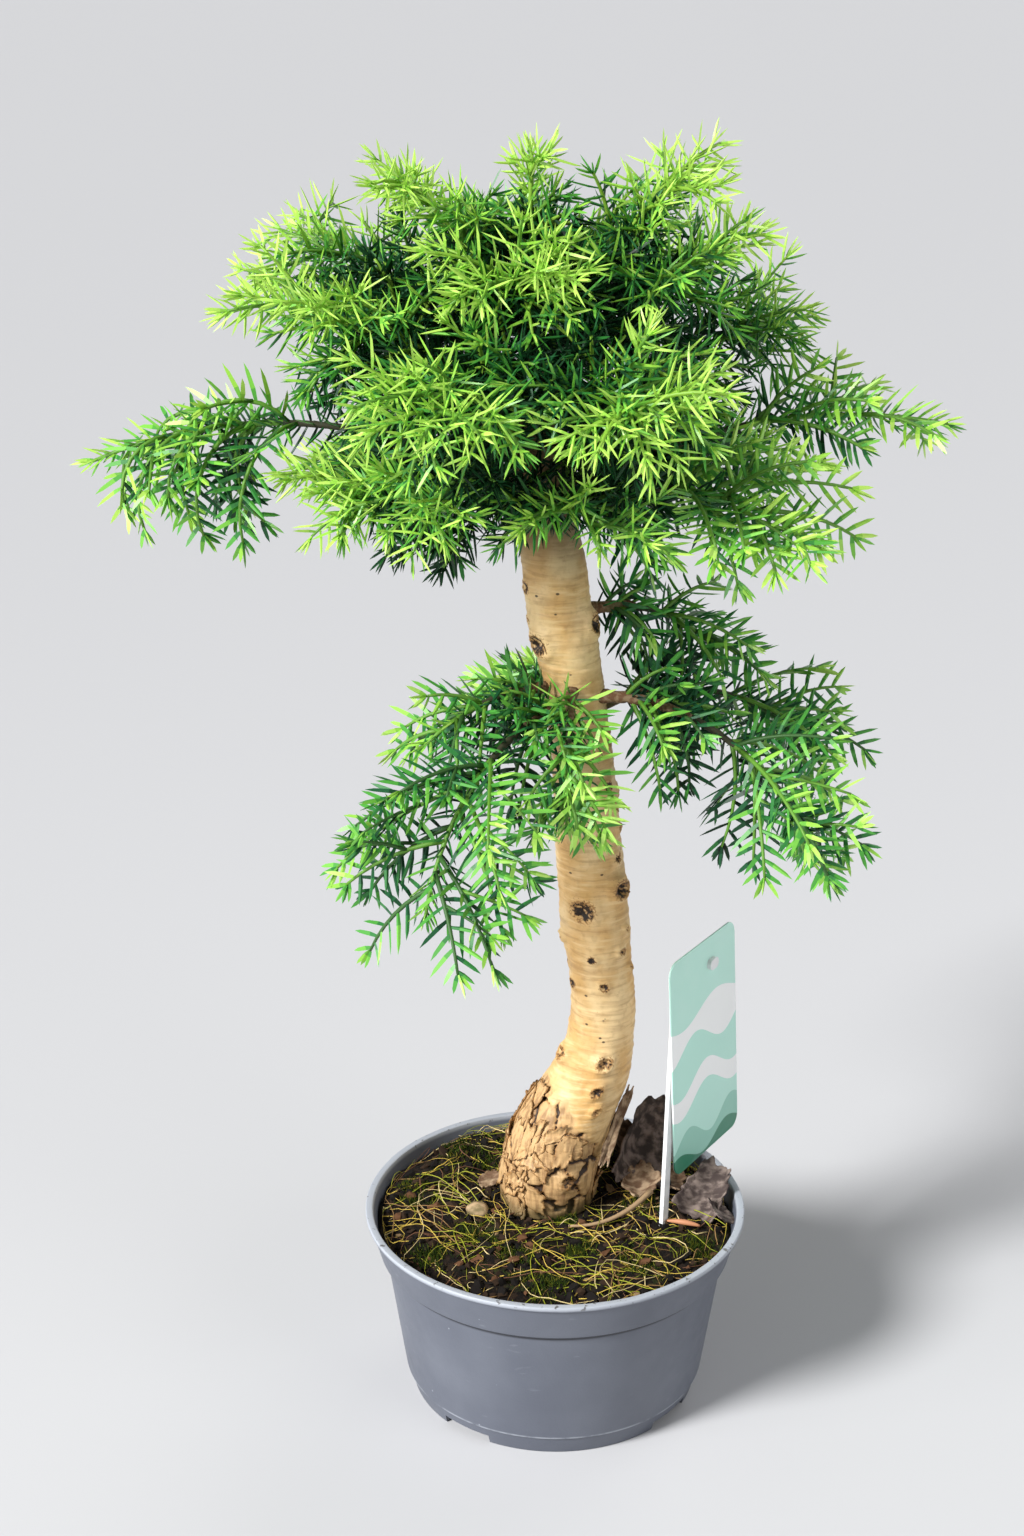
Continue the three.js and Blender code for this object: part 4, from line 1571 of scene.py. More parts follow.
    def knotting(self, spot: Vector, azimuth: float, radius: float) -> Pair:
        """The scars and nubs at a place, each a collar round a pit.

        Args:
            spot: The place on the smooth trunk.
            azimuth: Its azimuth in radians.
            radius: The trunk's radius there.

        Returns:
            How far they stand out, and how far the place is scar.
        """
        out = scar = 0.0
        for knot in self.knots:
            drop = spot.z - knot.height
            if abs(drop) > 3 * knot.radius:
                continue
            turn = math.remainder(azimuth - math.radians(knot.azimuth), math.tau)
            away = math.hypot(turn * radius, drop) / knot.radius
            rough = noise.noise(spot * self.knot_scale)
            collar = bell(away - self.knot_collar, self.knot_collar_width)
            pit = self.knot_pit * bell(away, self.knot_pit_width)
            out += knot.rise * (collar - pit + self.knot_roughness * rough * bell(away, 1))
            scar = max(scar, knot.dark * bell(away, self.scar_width, 4) * step(*self.scar_gaps, rough))
        return out, scar

    def plates(self, spot: Vector, plate: float) -> Pair:
        """The torn plates and the cracks between them.

        Args:
            spot: The place on the smooth trunk.
            plate: How far plates cover it.

        Returns:
            How far they stand out, and how far the place is crack.
        """
        if plate <= 0:
            return 0.0, 0.0
        grid = spot.copy()
        for scale, reach in self.plate_warps:
            grid += noise.noise_vector(spot * scale) * reach
        cells = Vector([part / size for part, size in zip(grid, self.plate_size)])
        (first, second, _, _), (cell, _, _, _) = noise.voronoi(cells)
        crack = plate * (1 - step(*self.crack_width, second - first))
        layer = 0.5 + 0.5 * noise.noise(cell * self.layer_scale)
        fibre = noise.fractal(spot * Vector(self.fibre_scales), *self.fibre_fractal)
        rise = self.plate_depth * (layer - self.plate_level) + self.fibre_rise * fibre
        return plate * rise - self.crack_depth * crack, crack

    def relief(self, spot: Vector, azimuth: float, radius: float) -> tuple[float, float, float, float]:
        """The bark at a place.

        Args:
            spot: The place on the smooth trunk.
            azimuth: Its azimuth in radians.
            radius: The trunk's radius there.

        Returns:
            How far the bark stands out, and how far the place is plate, crack and scar.
        """
        frayed = self.plate_fraying * layered(spot, *self.fray_scales, 0.5)
        plate = self.plating(spot.z + frayed, azimuth)
        knots, scar = self.knotting(spot, azimuth, radius)
        plates, crack = self.plates(spot, plate)
        return self.skin(spot) + knots + plates, plate, crack, scar

    def bark(self) -> Shape:
        """The trunk's mesh with its relief, and its plates, cracks and scars as numbers at its points.

        Returns:
            The mesh.
        """
        noise.seed_set(self.seed)
        shape = column(self.sides, self.rows)
        layers = [shape.verts.layers.float.new(name) for name in ("plate", "crack", "scar")]
        foot, tip = self.sections[0][0], self.sections[-1][0]
        places = {}
        for vertex in shape.verts:
            share = round(vertex.co.z * self.rows) / self.rows
            if share not in places:
                places[share] = self.at(foot + share * (tip - foot))
            middle, radius = places[share]
            outward = Vector((vertex.co.x, vertex.co.y, 0))
            spot = Vector(middle) + outward * radius
            out, *marks = self.relief(spot, math.atan2(outward.y, outward.x), radius)
            vertex.co = spot + outward * out
            for layer, mark in zip(layers, marks):
                vertex[layer] = mark
        return shape

    def build(self) -> Iterator[Piece]:
        """Yields the trunk."""
        yield publish("bark_trunk", self.bark(), [TrunkBark()], Slot.TRUNK, ["trunk"])


@dataclass
class Flakes:
    """Papery flakes that peel off the trunk's foot, with painted shadow along their rims, clear of a bare
    place: its height, azimuth and reach.
    """

    trunk: Trunk
    count: int = 44
    lowest: float = 68
    highest: float = 113
    margin: float = 4
    overhang: float = 1.5
    least_plating: float = 0.6
    width: Pair = (5, 13)
    length: Pair = (8, 23)
    grid: tuple[int, int] = (12, 16)
    thickness: float = 0.5
    tear: Tear = Tear(depth=0.28, start=0.35, corners=1.2)
    seed_step: Triple = (3.7, 1.3, 0)
    skew: float = 0.9
    crumple: float = 0.5
    crumple_scale: float = 5
    curl: float = 1.7
    side_curl: float = 0.9
    painted_rim_shadow: float = 0.42
    painted_rim_shadow_start: float = 0.7
    bare: Triple = (83, 288, 13)
    seed: int = 41

    def flake(self, height: float, azimuth: float, size: Pair, seed: int) -> Shape:
        """One flake.

        Args:
            height: The height of its middle.
            azimuth: The azimuth of its middle in radians.
            size: Its width round the trunk and its length up the trunk.
            seed: The seed of its ragged edge.

        Returns:
            The flake, in place.
        """
        shape = bmesh.new()
        columns, rows = self.grid
        bmesh.ops.create_grid(shape, x_segments=columns, y_segments=rows, size=0.5)
        plate, crack = (shape.verts.layers.float.new(name) for name in ("plate", "crack"))
        offset = Vector(self.seed_step) * seed
        loose = 1 if seed % 3 else -1
        skew = self.skew * jitter(seed, 5)
        width, length = size
        for vertex in shape.verts:
            torn = self.tear.share(vertex.co, offset)
            across, along = vertex.co.x * torn, vertex.co.y * torn
            here = height + along * length + skew * across * width
            middle, radius = self.trunk.at(max(here, self.lowest - self.overhang))
            turn = azimuth + across * width / radius
            out = radius + self.crumple * noise.noise(vertex.co * self.crumple_scale + offset)
            out += self.curl * step(-0.05, 0.5, loose * along) ** 2
            out += self.side_curl * step(0.2, 0.5, across) ** 2
            vertex[plate] = 1
            # Painted shadow: the rim goes into the crack layer, darkened like the shade under a lifted edge.
            vertex[crack] = self.painted_rim_shadow * step(self.painted_rim_shadow_start, 1, self.tear.edge(vertex.co))
            vertex.co = Vector(middle) + Vector((math.cos(turn), math.sin(turn), 0)) * out
        return shape

    def shapes(self) -> list[Shape]:
        """Draws the flakes where plates cover the trunk.

        Returns:
            The flakes, in place.
        """
        draw = np.random.default_rng(self.seed)
        level, bare_azimuth, reach = self.bare
        drawn = []
        while len(drawn) < self.count:
            height = draw.uniform(self.lowest + self.margin, self.highest)
            azimuth = draw.uniform(0, math.tau)
            size = draw.uniform(*self.width), draw.uniform(*self.length)
            turn = math.remainder(azimuth - math.radians(bare_azimuth), math.tau)
            away = math.hypot(self.trunk.at(level)[1] * turn, height - level)
            plating = self.trunk.plating(height + self.margin, azimuth)
            if plating >= self.least_plating and away >= reach:
                drawn.append(self.flake(height, azimuth, size, len(drawn)))
        return drawn

    def build(self) -> Iterator[Piece]:
        """Yields all the flakes as one piece."""
        whole = merged(self.shapes())
        yield publish("bark_flakes", whole, [TrunkBark()], Slot.TRUNK, thickness=self.thickness)


def direction(azimuth: float, rise: float) -> Array:
    """The way of an azimuth and a rise over the level."""
    turn, slope = math.radians(azimuth), math.radians(rise)
    return np.array((math.cos(slope) * math.cos(turn), math.cos(slope) * math.sin(turn), math.sin(slope)))


@dataclass(frozen=True)
class Arc:
    """The middle line of a limb: it sets out at a rise in an upright plane and bends down by an arch."""

    start: Array
    azimuth: float
    rise: float
    length: float
    arch: float

    @property
    def across(self) -> Array:
        """The level way across the limb."""
        return direction(self.azimuth + 90, 0)

    def points(self, shares: Array) -> Array:
        """The places at some shares of the length.

        Args:
            shares: The shares.

        Returns:
            The places, shares by 3.
        """
        slope, bend = math.radians(self.rise), math.radians(self.arch)
        here = slope - bend * shares
        radius = self.length / bend
        level = radius * (math.sin(slope) - np.sin(here))
        lift = radius * (np.cos(here) - math.cos(slope))
        upward = np.array((0, 0, 1))
        return self.start + level[:, None] * direction(self.azimuth, 0) + lift[:, None] * upward

    def part(self, first: float, last: float) -> "Arc":
        """The stretch of the limb between two shares of its length.

        Args:
            first: The share that it starts at.
            last: The share that it ends at.

        Returns:
            The line of the stretch.
        """
        start = self.points(np.array([first]))[0]
        rest = last - first
        return Arc(start, self.azimuth, self.rise - self.arch * first, self.length * rest, self.arch * rest)

    def ways(self, shares: Array) -> Array:
        """The ways along the limb at some shares of its length."""
        return np.array([direction(self.azimuth, self.rise - self.arch * share) for share in shares])


@dataclass(frozen=True)
class Mass:
    """A mass of foliage: its stem, its rows of side shoots, and how light its green is, up to one, partly
    new growth and partly painted light and shade by where it stands.
    """

    name: str
    height: float
    azimuth: float
    rise: float
    length: float
    arch: float
    shoots: int
    reach: float
    freshness_and_light: float
    opposite: int
    upright: int
    bough: float = 0
    droop: float = 34
    hanging: int = 0
    finer: float = 0.7

    @property
    def node(self) -> str:
        """The name of its solid."""
        return f"mass_{self.name}"

    def arc(self, trunk: Trunk) -> Arc:
        """The line of its bough and stem, from the middle of the trunk."""
        return Arc(trunk.at(self.height)[0], self.azimuth, self.rise, self.length, self.arch)


# The ninth column, how light each mass's green is, is partly new growth and partly painted light and shade:
# masses at the front and top are lighter, those at the back and below darker.
MASSES = (
    Mass("leader", 391, 200, 88, 60, -4, 4, 25, 0.84, 4, 2, finer=0.5),
    Mass("top_left", 383, 187, 70, 84, 34, 5, 42, 0.82, 4, 1, finer=0.45),
    Mass("top_right", 379, 346, 66, 86, 26, 5, 46, 0.78, 5, 3, finer=0.5),
    Mass("top_front", 385, 262, 64, 58, 54, 5, 42, 0.78, 5, 5),
    Mass("top_back", 380, 92, 54, 72, 40, 4, 44, 0.66, 4, 3),
    Mass("high_left", 352, 197, 50, 116, 38, 6, 50, 0.78, 5, 4, hanging=4),
    Mass("high_left_back", 362, 161, 58, 104, 44, 5, 46, 0.64, 5, 4),
    Mass("front_left", 358, 250, 48, 108, 70, 6, 48, 0.72, 6, 6),
    Mass("front_right", 350, 291, 50, 108, 60, 6, 48, 0.70, 6, 6),
    Mass("high_right", 364, 331, 66, 92, 48, 5, 46, 0.62, 4, 4),
    Mass("high_right_back", 348, 26, 44, 116, 44, 5, 48, 0.54, 4, 4),
    Mass("back_right", 356, 64, 52, 104, 48, 5, 48, 0.60, 5, 5),
    Mass("back_left", 352, 126, 50, 106, 50, 5, 48, 0.56, 5, 5),
    Mass("far_left", 336, 178, 34, 158, 58, 6, 52, 0.41, 4, 3, bough=62, droop=112, finer=0.55),
    Mass("far_right", 334, 5, 34, 142, 46, 5, 40, 0.36, 2, 1, bough=50),
    Mass("low_right", 331, 326, 34, 106, 60, 6, 50, 0.50, 3, 3, bough=34),
    Mass("low_front", 326, 281, 44, 84, 66, 5, 42, 0.66, 4, 1),
    Mass("low_front_left", 330, 236, 40, 94, 60, 5, 46, 0.72, 4, 1),
    Mass("low_left", 325, 205, 36, 86, 38, 5, 42, 0.70, 5, 1, hanging=3),
    Mass("low_back_right", 327, 48, 32, 106, 54, 5, 48, 0.44, 5, 4),
    Mass("low_back", 323, 94, 32, 96, 56, 5, 46, 0.48, 5, 4),
    Mass("low_back_left", 328, 141, 34, 100, 54, 5, 46, 0.50, 5, 4),
    Mass("middle_right", 295, 18, 20, 64, 74, 4, 36, 0.28, 4, 2, bough=24),
    Mass("lower_left", 270, 208, 16, 60, 54, 4, 34, 0.34, 2, 1, bough=24),
    Mass("lower_left_front", 264, 231, 11, 106, 88, 5, 56, 0.28, 5, 1, bough=26, finer=0.6),
    Mass("lower_front", 272, 266, 8, 62, 108, 4, 26, 0.48, 4, 4, bough=22),
    Mass("lower_right", 266, 338, 16, 108, 90, 5, 50, 0.30, 4, 2, bough=40, hanging=1),
    Mass("lower_right_back", 260, 22, 20, 104, 70, 5, 44, 0.28, 4, 3, bough=42),
    Mass("lower_back", 262, 120, 22, 54, 58, 3, 22, 0.46, 3, 0, bough=24),
)


@dataclass
class Boughs:
    """The bare boughs between the trunk and the masses that have one."""

    trunk: Trunk
    root_radius: float = 2.3
    tip_radius: float = 1.6
    collar: float = 0.5
    collar_place: float = 11
    collar_width: float = 4
    knob_rise: float = 0.55
    knob_scale: float = 0.35
    knob_fractal: tuple[float, float, int] = (0.8, 2, 3)
    sides: int = 18
    rows: int = 44
    overlap: float = 3

    def bough(self, mass: Mass) -> Shape:
        """One bough with its knobbly bark.

        Args:
            mass: The mass at its tip.

        Returns:
            The bough, in place.
        """
        arc = mass.arc(self.trunk)
        shape = column(self.sides, self.rows)
        reach = (mass.bough + self.overlap) / mass.length
        shares = np.linspace(0, reach, self.rows + 1)
        middles, ways = arc.points(shares), arc.ways(shares)
        for vertex in shape.verts:
            row = round(vertex.co.z * self.rows)
            share = row / self.rows
            up = np.cross(ways[row], arc.across)
            outward = Vector(vertex.co.x * arc.across + vertex.co.y * up)
            away = share * (mass.bough + self.overlap)
            radius = self.root_radius + (self.tip_radius - self.root_radius) * share
            radius += self.collar * bell(away - self.collar_place, self.collar_width)
            spot = Vector(middles[row]) + outward * radius
            knobs = noise.fractal(spot * self.knob_scale, *self.knob_fractal)
            vertex.co = spot + outward * (self.knob_rise * knobs)
        return shape

    def build(self) -> Iterator[Piece]:
        """Builds the boughs.

        Yields:
            All the boughs as one piece.
        """
        carriers = [mass for mass in MASSES if mass.bough]
        whole = merged(self.bough(mass) for mass in carriers)
        bmesh.ops.recalc_face_normals(whole, faces=whole.faces)
        nodes = [f"bough_{mass.name}" for mass in carriers]
        yield publish("bark_boughs", whole, [BoughBark()], Slot.BOUGH, nodes)


# Foliage


class Group(Enum):
    """The masses that are joined in each piece."""

    TOP = ("leader", "top_left", "top_right", "top_front", "top_back")
    LEFT = ("high_left", "high_left_back", "far_left", "low_left", "low_front_left")
    FRONT = ("front_left", "front_right", "low_front", "low_right")
    RIGHT = ("high_right", "high_right_back", "far_right", "back_right")
    BACK = ("back_left", "low_back_right", "low_back", "low_back_left")
    LOWER = (
        "middle_right", "lower_left", "lower_left_front", "lower_front", "lower_right", "lower_right_back",
        "lower_back",
    )


class Rank(Enum):
    """A row of side shoots: its phase, its hands by turns, its turn about the stem, and its reach."""

    SIDES = (0.5, (1, -1), 0, 1.0)
    OPPOSITE = (1.0, (-1, 1), 0, 1.0)
    UPRIGHT = (0.75, (1, -1), 90, 0.8)
    HANGING = (0.6, (-1, -1), 90, 1.25)
    ABOVE = (0.3, (1, 1), 90, 0.7)


@dataclass(frozen=True)
class ShootRule:
    """How side shoots leave their stem, by turns to its two sides, shorter towards its tip."""

    first_share: float = 0.2
    last_share: float = 0.88
    angle: float = 48
    angle_spread: float = 8
    roll: float = 30
    lift: float = 8
    root_length: float = 1.08
    shortening: float = 0.5
    length_spread: float = 0.12

    def shoots(
        self, stem: Arc, count: int, reach: float, droop: float, seed: int, rank: Rank = Rank.SIDES
    ) -> list[Arc]:
        """Grows a row of side shoots on a stem.

        Args:
            stem: The stem.
            count: How many shoots there are.
            reach: The length of the longest.
            droop: The arch that each bends down through.
            seed: The seed of their spread.
            rank: Where the row stands.

        Returns:
            The shoots.
        """
        phase, hands, turn, reach_share = rank.value
        grown = []
        for k in range(count):
            share = self.first_share + (self.last_share - self.first_share) * (k + phase) / count
            place, along = stem.points(np.array([share]))[0], stem.ways(np.array([share]))[0]
            hand = hands[k % 2]
            roll = math.radians(turn + self.roll * jitter(seed, 3 * k))
            side = hand * (stem.across * math.cos(roll) + np.cross(along, stem.across) * math.sin(roll))
            angle = math.radians(self.angle + self.angle_spread * jitter(seed, 3 * k + 1))
            heading = along * math.cos(angle) + side * math.sin(angle)
            azimuth = math.degrees(math.atan2(heading[1], heading[0]))
            rise = math.degrees(math.asin(heading[2])) + self.lift
            length = reach * reach_share * (self.root_length - self.shortening * share)
            length *= 1 + self.length_spread * jitter(seed, 3 * k + 2)
            grown.append(Arc(place, azimuth, rise, length, droop))
        return grown


@dataclass(frozen=True)
class NeedleRule:
    """How needles stand on a twig, all round it or to its two sides, and close up to a tuft at its tip."""

    spacing: float
    turn: float
    spread: float
    twig_spacing: float
    length: float = 11.6
    length_spread: float = 0.16
    root_angle: float = 68
    tip_angle: float = 44
    angle_spread: float = 6
    tuft_angles: Pair = (12, 44)
    half_width: float = 0.5
    half_thickness: float = 0.36
    shading: float = 1.2
    incurve: float = 0.14
    sink: float = 0.5
    tip_loss: float = 0.45
    root_share: float = 0.7
    root_growth: float = 1.5
    roll: float = 0.4
    tuft: int = 4
    sections: tuple[Pair, ...] = ((0, 0.7), (0.32, 1), (0.76, 0.78))
    corners: tuple[Pair, ...] = ((1, -0.5), (0, 1), (-1, -0.5))

    def outline(self) -> tuple[Array, Array, Array]:
        """The shape of one needle: keeled sections along its length that end in a point.

        Returns:
            Its points as shares of length, width and thickness, its triangles, and which are the tip.
        """
        sides = len(self.corners)
        rows = len(self.sections)
        points = [(share, wide * x, wide * y) for share, wide in self.sections for x, y in self.corners]
        points.append((1, 0, 0))
        triangles = [(0, 1, 2)]
        for row in range(rows):
            for side in range(sides):
                a, b = sides * row + side, sides * row + (side + 1) % sides
                if row == rows - 1:
                    triangles.append((b, a, sides * rows))
                else:
                    triangles += [(b, a, a + sides), (b, a + sides, b + sides)]
        triangles = np.array(triangles)
        return np.array(points, float), triangles, triangles.max(1) >= sides * (rows - 1)


STEM = NeedleRule(spacing=1.1, turn=137.5, spread=0.2, twig_spacing=16)
PLUME = NeedleRule(spacing=1.35, turn=137.5, spread=0.2, twig_spacing=14)
FROND = NeedleRule(2.5, 180, 0.16, 36, length=12, half_width=0.8, shading=0.55)


@dataclass(frozen=True)
class Twig:
    """A needled limb: its line, its radii, its bare share, how light its green is, partly new growth and
    partly painted light, and its needles.
    """

    arc: Arc
    radii: Pair
    bare: float
    freshness_and_light: float
    order: int
    seed: int
    rule: NeedleRule


@dataclass
class Foliage:
    """The masses of foliage, grown on from the source's stems and shoots to finer twigs with needles."""

    trunk: Trunk
    rule: ShootRule = ShootRule()
    fine_rule: ShootRule = ShootRule(first_share=0.1, last_share=0.6, angle=46, roll=50, root_length=1.0)
    clearance: float = 0.3
    stem_radii: Pair = (1.3, 0.6)
    shoot_radii: Pair = (0.95, 0.5)
    twig_radii: Pair = (0.75, 0.45)
    bare_shares: Triple = (0.02, 0.06, 0.05)
    shoot_freshness: float = 0.14
    twig_freshness: float = 0.1
    wood_step: float = 9
    wood_sides: tuple[int, int, int] = (7, 5, 4)
    brown_share: float = 0.25
    twig_droop: float = 14
    bough_shoot_room: float = 9
    bough_shoot_share: float = 0.62
    bough_shoot_reach: float = 20
    bough_needles: float = 22
    light: Triple = (-0.2, -0.75, 0.62)
    face_spread: float = 0.3
    cover_step: float = 8
    cover_room: float = 30
    cover_gap: float = 5
    cover_share: float = 0.6
    cover_rise: float = 0.7
    full_cover: float = 56
    stem_light: float = 0.9
    tone: float = 0.17
    tip_tone: float = 0.24
    face_tone: float = 0.24
    tone_spread: float = 0.09
    needle_seed: int = 1000
    greens: tuple[Tint, ...] = (
        Tint("needle_night", (0.003, 0.018, 0.006), 0.4, 0.15),
        Tint("needle_deep", (0.007, 0.042, 0.013), 0.4, 0.2),
        Tint("needle_blue", (0.013, 0.090, 0.027), 0.4, 0.3),
        Tint("needle_leaf", (0.027, 0.170, 0.031), 0.4, 0.35),
        Tint("needle_meadow", (0.068, 0.300, 0.035), 0.38, 0.4),
        Tint("needle_spring", (0.162, 0.455, 0.050), 0.38, 0.4),
        Tint("needle_lime", (0.310, 0.620, 0.065), 0.38, 0.5),
        Tint("needle_tip", (0.480, 0.760, 0.120), 0.38, 0.5),
    )
    cooling: Sequence[float] = (0.92, 0.95, 1.1)
    woods: tuple[Tint, ...] = (
        Tint("stem_bark", (0.034, 0.034, 0.014), 0.7),
        Tint("shoot_deep", (0.036, 0.110, 0.022), 0.55),
        Tint("shoot_green", (0.110, 0.270, 0.028), 0.5),
        Tint("shoot_lime", (0.230, 0.430, 0.040), 0.5),
    )

    def palette(self, group: Group) -> tuple[Tint, ...]:
        """The greens of a group of masses.

        Args:
            group: The group.

        Returns:
            The greens, with less yellow in them for the lower ring.
        """
        if group is not Group.LOWER:
            return self.greens
        return tuple(
            replace(
                tint,
                name=tint.name.replace("needle", "frond"),
                colour=tuple(part * share for part, share in zip(tint.colour, self.cooling)),
            )
            for tint in self.greens
        )

    def twigs(self, mass: Mass) -> list[Twig]:
        """Grows the limbs of a mass: its stem, the source's shoots, more rows of them, and finer twigs.

        Args:
            mass: The mass.

        Returns:
            All its needled limbs.
        """
        seed = MASSES.index(mass)
        needles = FROND if mass.bough else PLUME
        arc = mass.arc(self.trunk)
        start = (mass.bough + self.clearance) / mass.length if mass.bough else 0
        stem = arc.part(start, 1)
        stem_bare, shoot_bare, twig_bare = self.bare_shares
        grown = [Twig(stem, self.stem_radii, stem_bare, mass.freshness_and_light, 0, seed, STEM)]
        kept = {
            Rank.SIDES: mass.shoots,
            Rank.OPPOSITE: mass.opposite,
            Rank.UPRIGHT: mass.upright,
            Rank.HANGING: mass.hanging,
        }
        reaches = {Rank.HANGING: self.bough_shoot_share * mass.reach}
        rows = [
            (row, sown, stem, mass.shoots, reaches.get(row, mass.reach), keep)
            for sown, (row, keep) in enumerate(kept.items())
        ]
        if mass.bough:
            clear = self.trunk.at(mass.height)[1] / mass.length
            bough = arc.part(clear, start)
            bare = max(0, 1 - self.bough_needles / bough.length)
            grown.append(Twig(bough, self.shoot_radii, bare, mass.freshness_and_light, 1, seed + 50, STEM))
            count = max(2, round(bough.length / self.bough_shoot_room))
            reach = max(self.bough_shoot_share * mass.reach, self.bough_shoot_reach)
            clothed = (Rank.SIDES, Rank.OPPOSITE, Rank.HANGING, Rank.ABOVE)
            rows += [(row, sown + 5, bough, count, reach, count) for sown, row in enumerate(clothed)]
        for row, sown, limb, count, reach, keep in rows:
            sown = seed + 100 * sown
            for k, shoot in enumerate(self.rule.shoots(limb, count, reach, mass.droop, sown, row)[:keep]):
                freshness_and_light = mass.freshness_and_light + self.shoot_freshness * jitter(sown, 200 + k)
                grown.append(Twig(shoot, self.shoot_radii, shoot_bare, freshness_and_light, 1, sown * 31 + k, needles))
                finer = self.fine_rule.shoots(
                    shoot,
                    int(shoot.length / needles.twig_spacing),
                    mass.finer * shoot.length,
                    self.twig_droop,
                    sown * 17 + k,
                )
                for j, twig in enumerate(finer):
                    tone = freshness_and_light + self.twig_freshness * jitter(sown, 300 + 7 * k + j)
                    own_seed = sown * 53 + 11 * k + j
                    grown.append(Twig(twig, self.twig_radii, twig_bare, tone, 2, own_seed, needles))
        return grown

    def wood(self, twig: Twig) -> Joined:
        """The bare wood of a limb.

        Args:
            twig: The limb.

        Returns:
            A tapering tube, brown on a stem's lower part and green beyond.
        """
        points = 3 + round(twig.arc.length / self.wood_step)
        shares = np.linspace(0, 1, points)
        radii = np.linspace(*twig.radii, points)
        sides = self.wood_sides[twig.order]
        green = 1 + int(np.clip(round(2 * twig.freshness_and_light), 0, 2))
        brown = self.brown_share if twig.order == 0 else 0
        finishes = np.where(shares < brown, 0, green)
        return tube(twig.arc.points(shares), radii, sides, twig.arc.across, finishes)

    def limb_tree(self, twigs: Sequence[Twig]) -> KDTree:
        """A tree of places along all the limbs.

        Args:
            twigs: The limbs.

        Returns:
            The tree, ready to be searched.
        """
        places = [twig.arc.points(np.arange(0, 1, self.cover_step / twig.arc.length)) for twig in twigs]
        places = np.concatenate(places)
        tree = KDTree(len(places))
        for index, place in enumerate(places):
            tree.insert(place, index)
        tree.balance()
        return tree

    def cover(self, tree: KDTree, twig: Twig) -> float:
        """How far other limbs cover a limb from outside and above.

        Args:
            tree: The places along all the limbs.
            twig: The limb.

        Returns:
            The cover, from nought to one.
        """
        place = Vector(twig.arc.points(np.array([self.cover_share]))[0])
        middle = Vector(self.trunk.at(min(place.z, self.trunk.sections[-1][0]))[0])
        outward = ((place - middle) * Vector((1, 1, 0))).normalized() + Vector((0, 0, self.cover_rise))
        near = tree.find_range(place, self.cover_room)
        over = [point for point, _, _ in near if (point - place).dot(outward) > self.cover_gap]
        return min(1, len(over) / self.full_cover)

    def needle_mesh(self, twig: Twig, cover: float) -> Joined:
        """The needles of a limb.

        Args:
            twig: The limb.
            cover: How far other limbs cover it.

        Returns:
            The joined needles, each in two of the greens, the lighter at its tip.
        """
        rule = twig.rule
        draw = np.random.default_rng(self.needle_seed + twig.seed)
        row_count = max(3, round((1 - twig.bare) * twig.arc.length / rule.spacing))
        count = row_count + rule.tuft
        index = np.arange(count)
        tuft = index >= row_count
        part = np.minimum((index + 0.5) / row_count, 1)
        shares = twig.bare + (1 - twig.bare) * part
        turn = np.radians(rule.turn * index) + rule.spread * draw.normal(size=count)
        turn = np.where(tuft, draw.uniform(0, math.tau, count), turn)
        ways = twig.arc.ways(shares)
        side = np.cross(ways, np.array(self.light) + self.face_spread * draw.normal(size=3))
        side /= np.linalg.norm(side, axis=1, keepdims=True)
        up = np.cross(ways, side)
        outward = np.cos(turn)[:, None] * side + np.sin(turn)[:, None] * up
        angle = rule.root_angle + (rule.tip_angle - rule.root_angle) * part**4
        angle += rule.angle_spread * draw.normal(size=count)
        angle = np.radians(np.where(tuft, draw.uniform(*rule.tuft_angles, count), angle))
        heading = ways * np.cos(angle)[:, None] + outward * np.sin(angle)[:, None]
        length = rule.length * (1 + rule.length_spread * draw.uniform(-1, 1, count))
        length *= (1 - rule.tip_loss * part**4) * np.minimum(1, rule.root_share + rule.root_growth * part)
        normal = np.cross(heading, outward)
        normal /= np.linalg.norm(normal, axis=1, keepdims=True)
        flat = np.cross(normal, heading)
        roll = draw.normal(size=count)[:, None] * rule.roll
        cosine, sine = np.cos(roll), np.sin(roll)
        flat, normal = flat * cosine + normal * sine, normal * cosine - flat * sine
        radius = np.interp(shares, (0, 1), twig.radii)
        foot = twig.arc.points(shares) + outward * (rule.sink * radius)[:, None]
        shape, triangles, tips = rule.outline()
        points = foot[:, None] + heading[:, None] * (shape[:, 0] * length[:, None])[:, :, None]
        points += flat[:, None] * (shape[:, 1] * rule.half_width)[None, :, None]
        points += normal[:, None] * (shape[:, 2] * rule.half_thickness)[None, :, None]
        points += ways[:, None] * (rule.incurve * shape[:, 0] ** 2 * length[:, None])[:, :, None]
        # Painted light and shade: limbs covered by others are darker, needles turned to the light lighter,
        # and twig tips lighter, partly new growth and partly painted light.
        shade = cover * (1 - self.stem_light * part**2 if twig.order == 0 else 1)
        facing = outward @ np.array(self.light)
        tone = twig.freshness_and_light - rule.shading * shade + self.tone + self.tip_tone * part**2
        tone += self.face_tone * facing + self.tone_spread * draw.normal(size=count)
        last = len(self.greens) - 1
        finishes = np.clip(np.round(tone * last), 0, last - 1).astype(int)
        joined = Joined.copies(points, triangles, finishes)
        joined.finishes += np.tile(tips, count)
        return joined

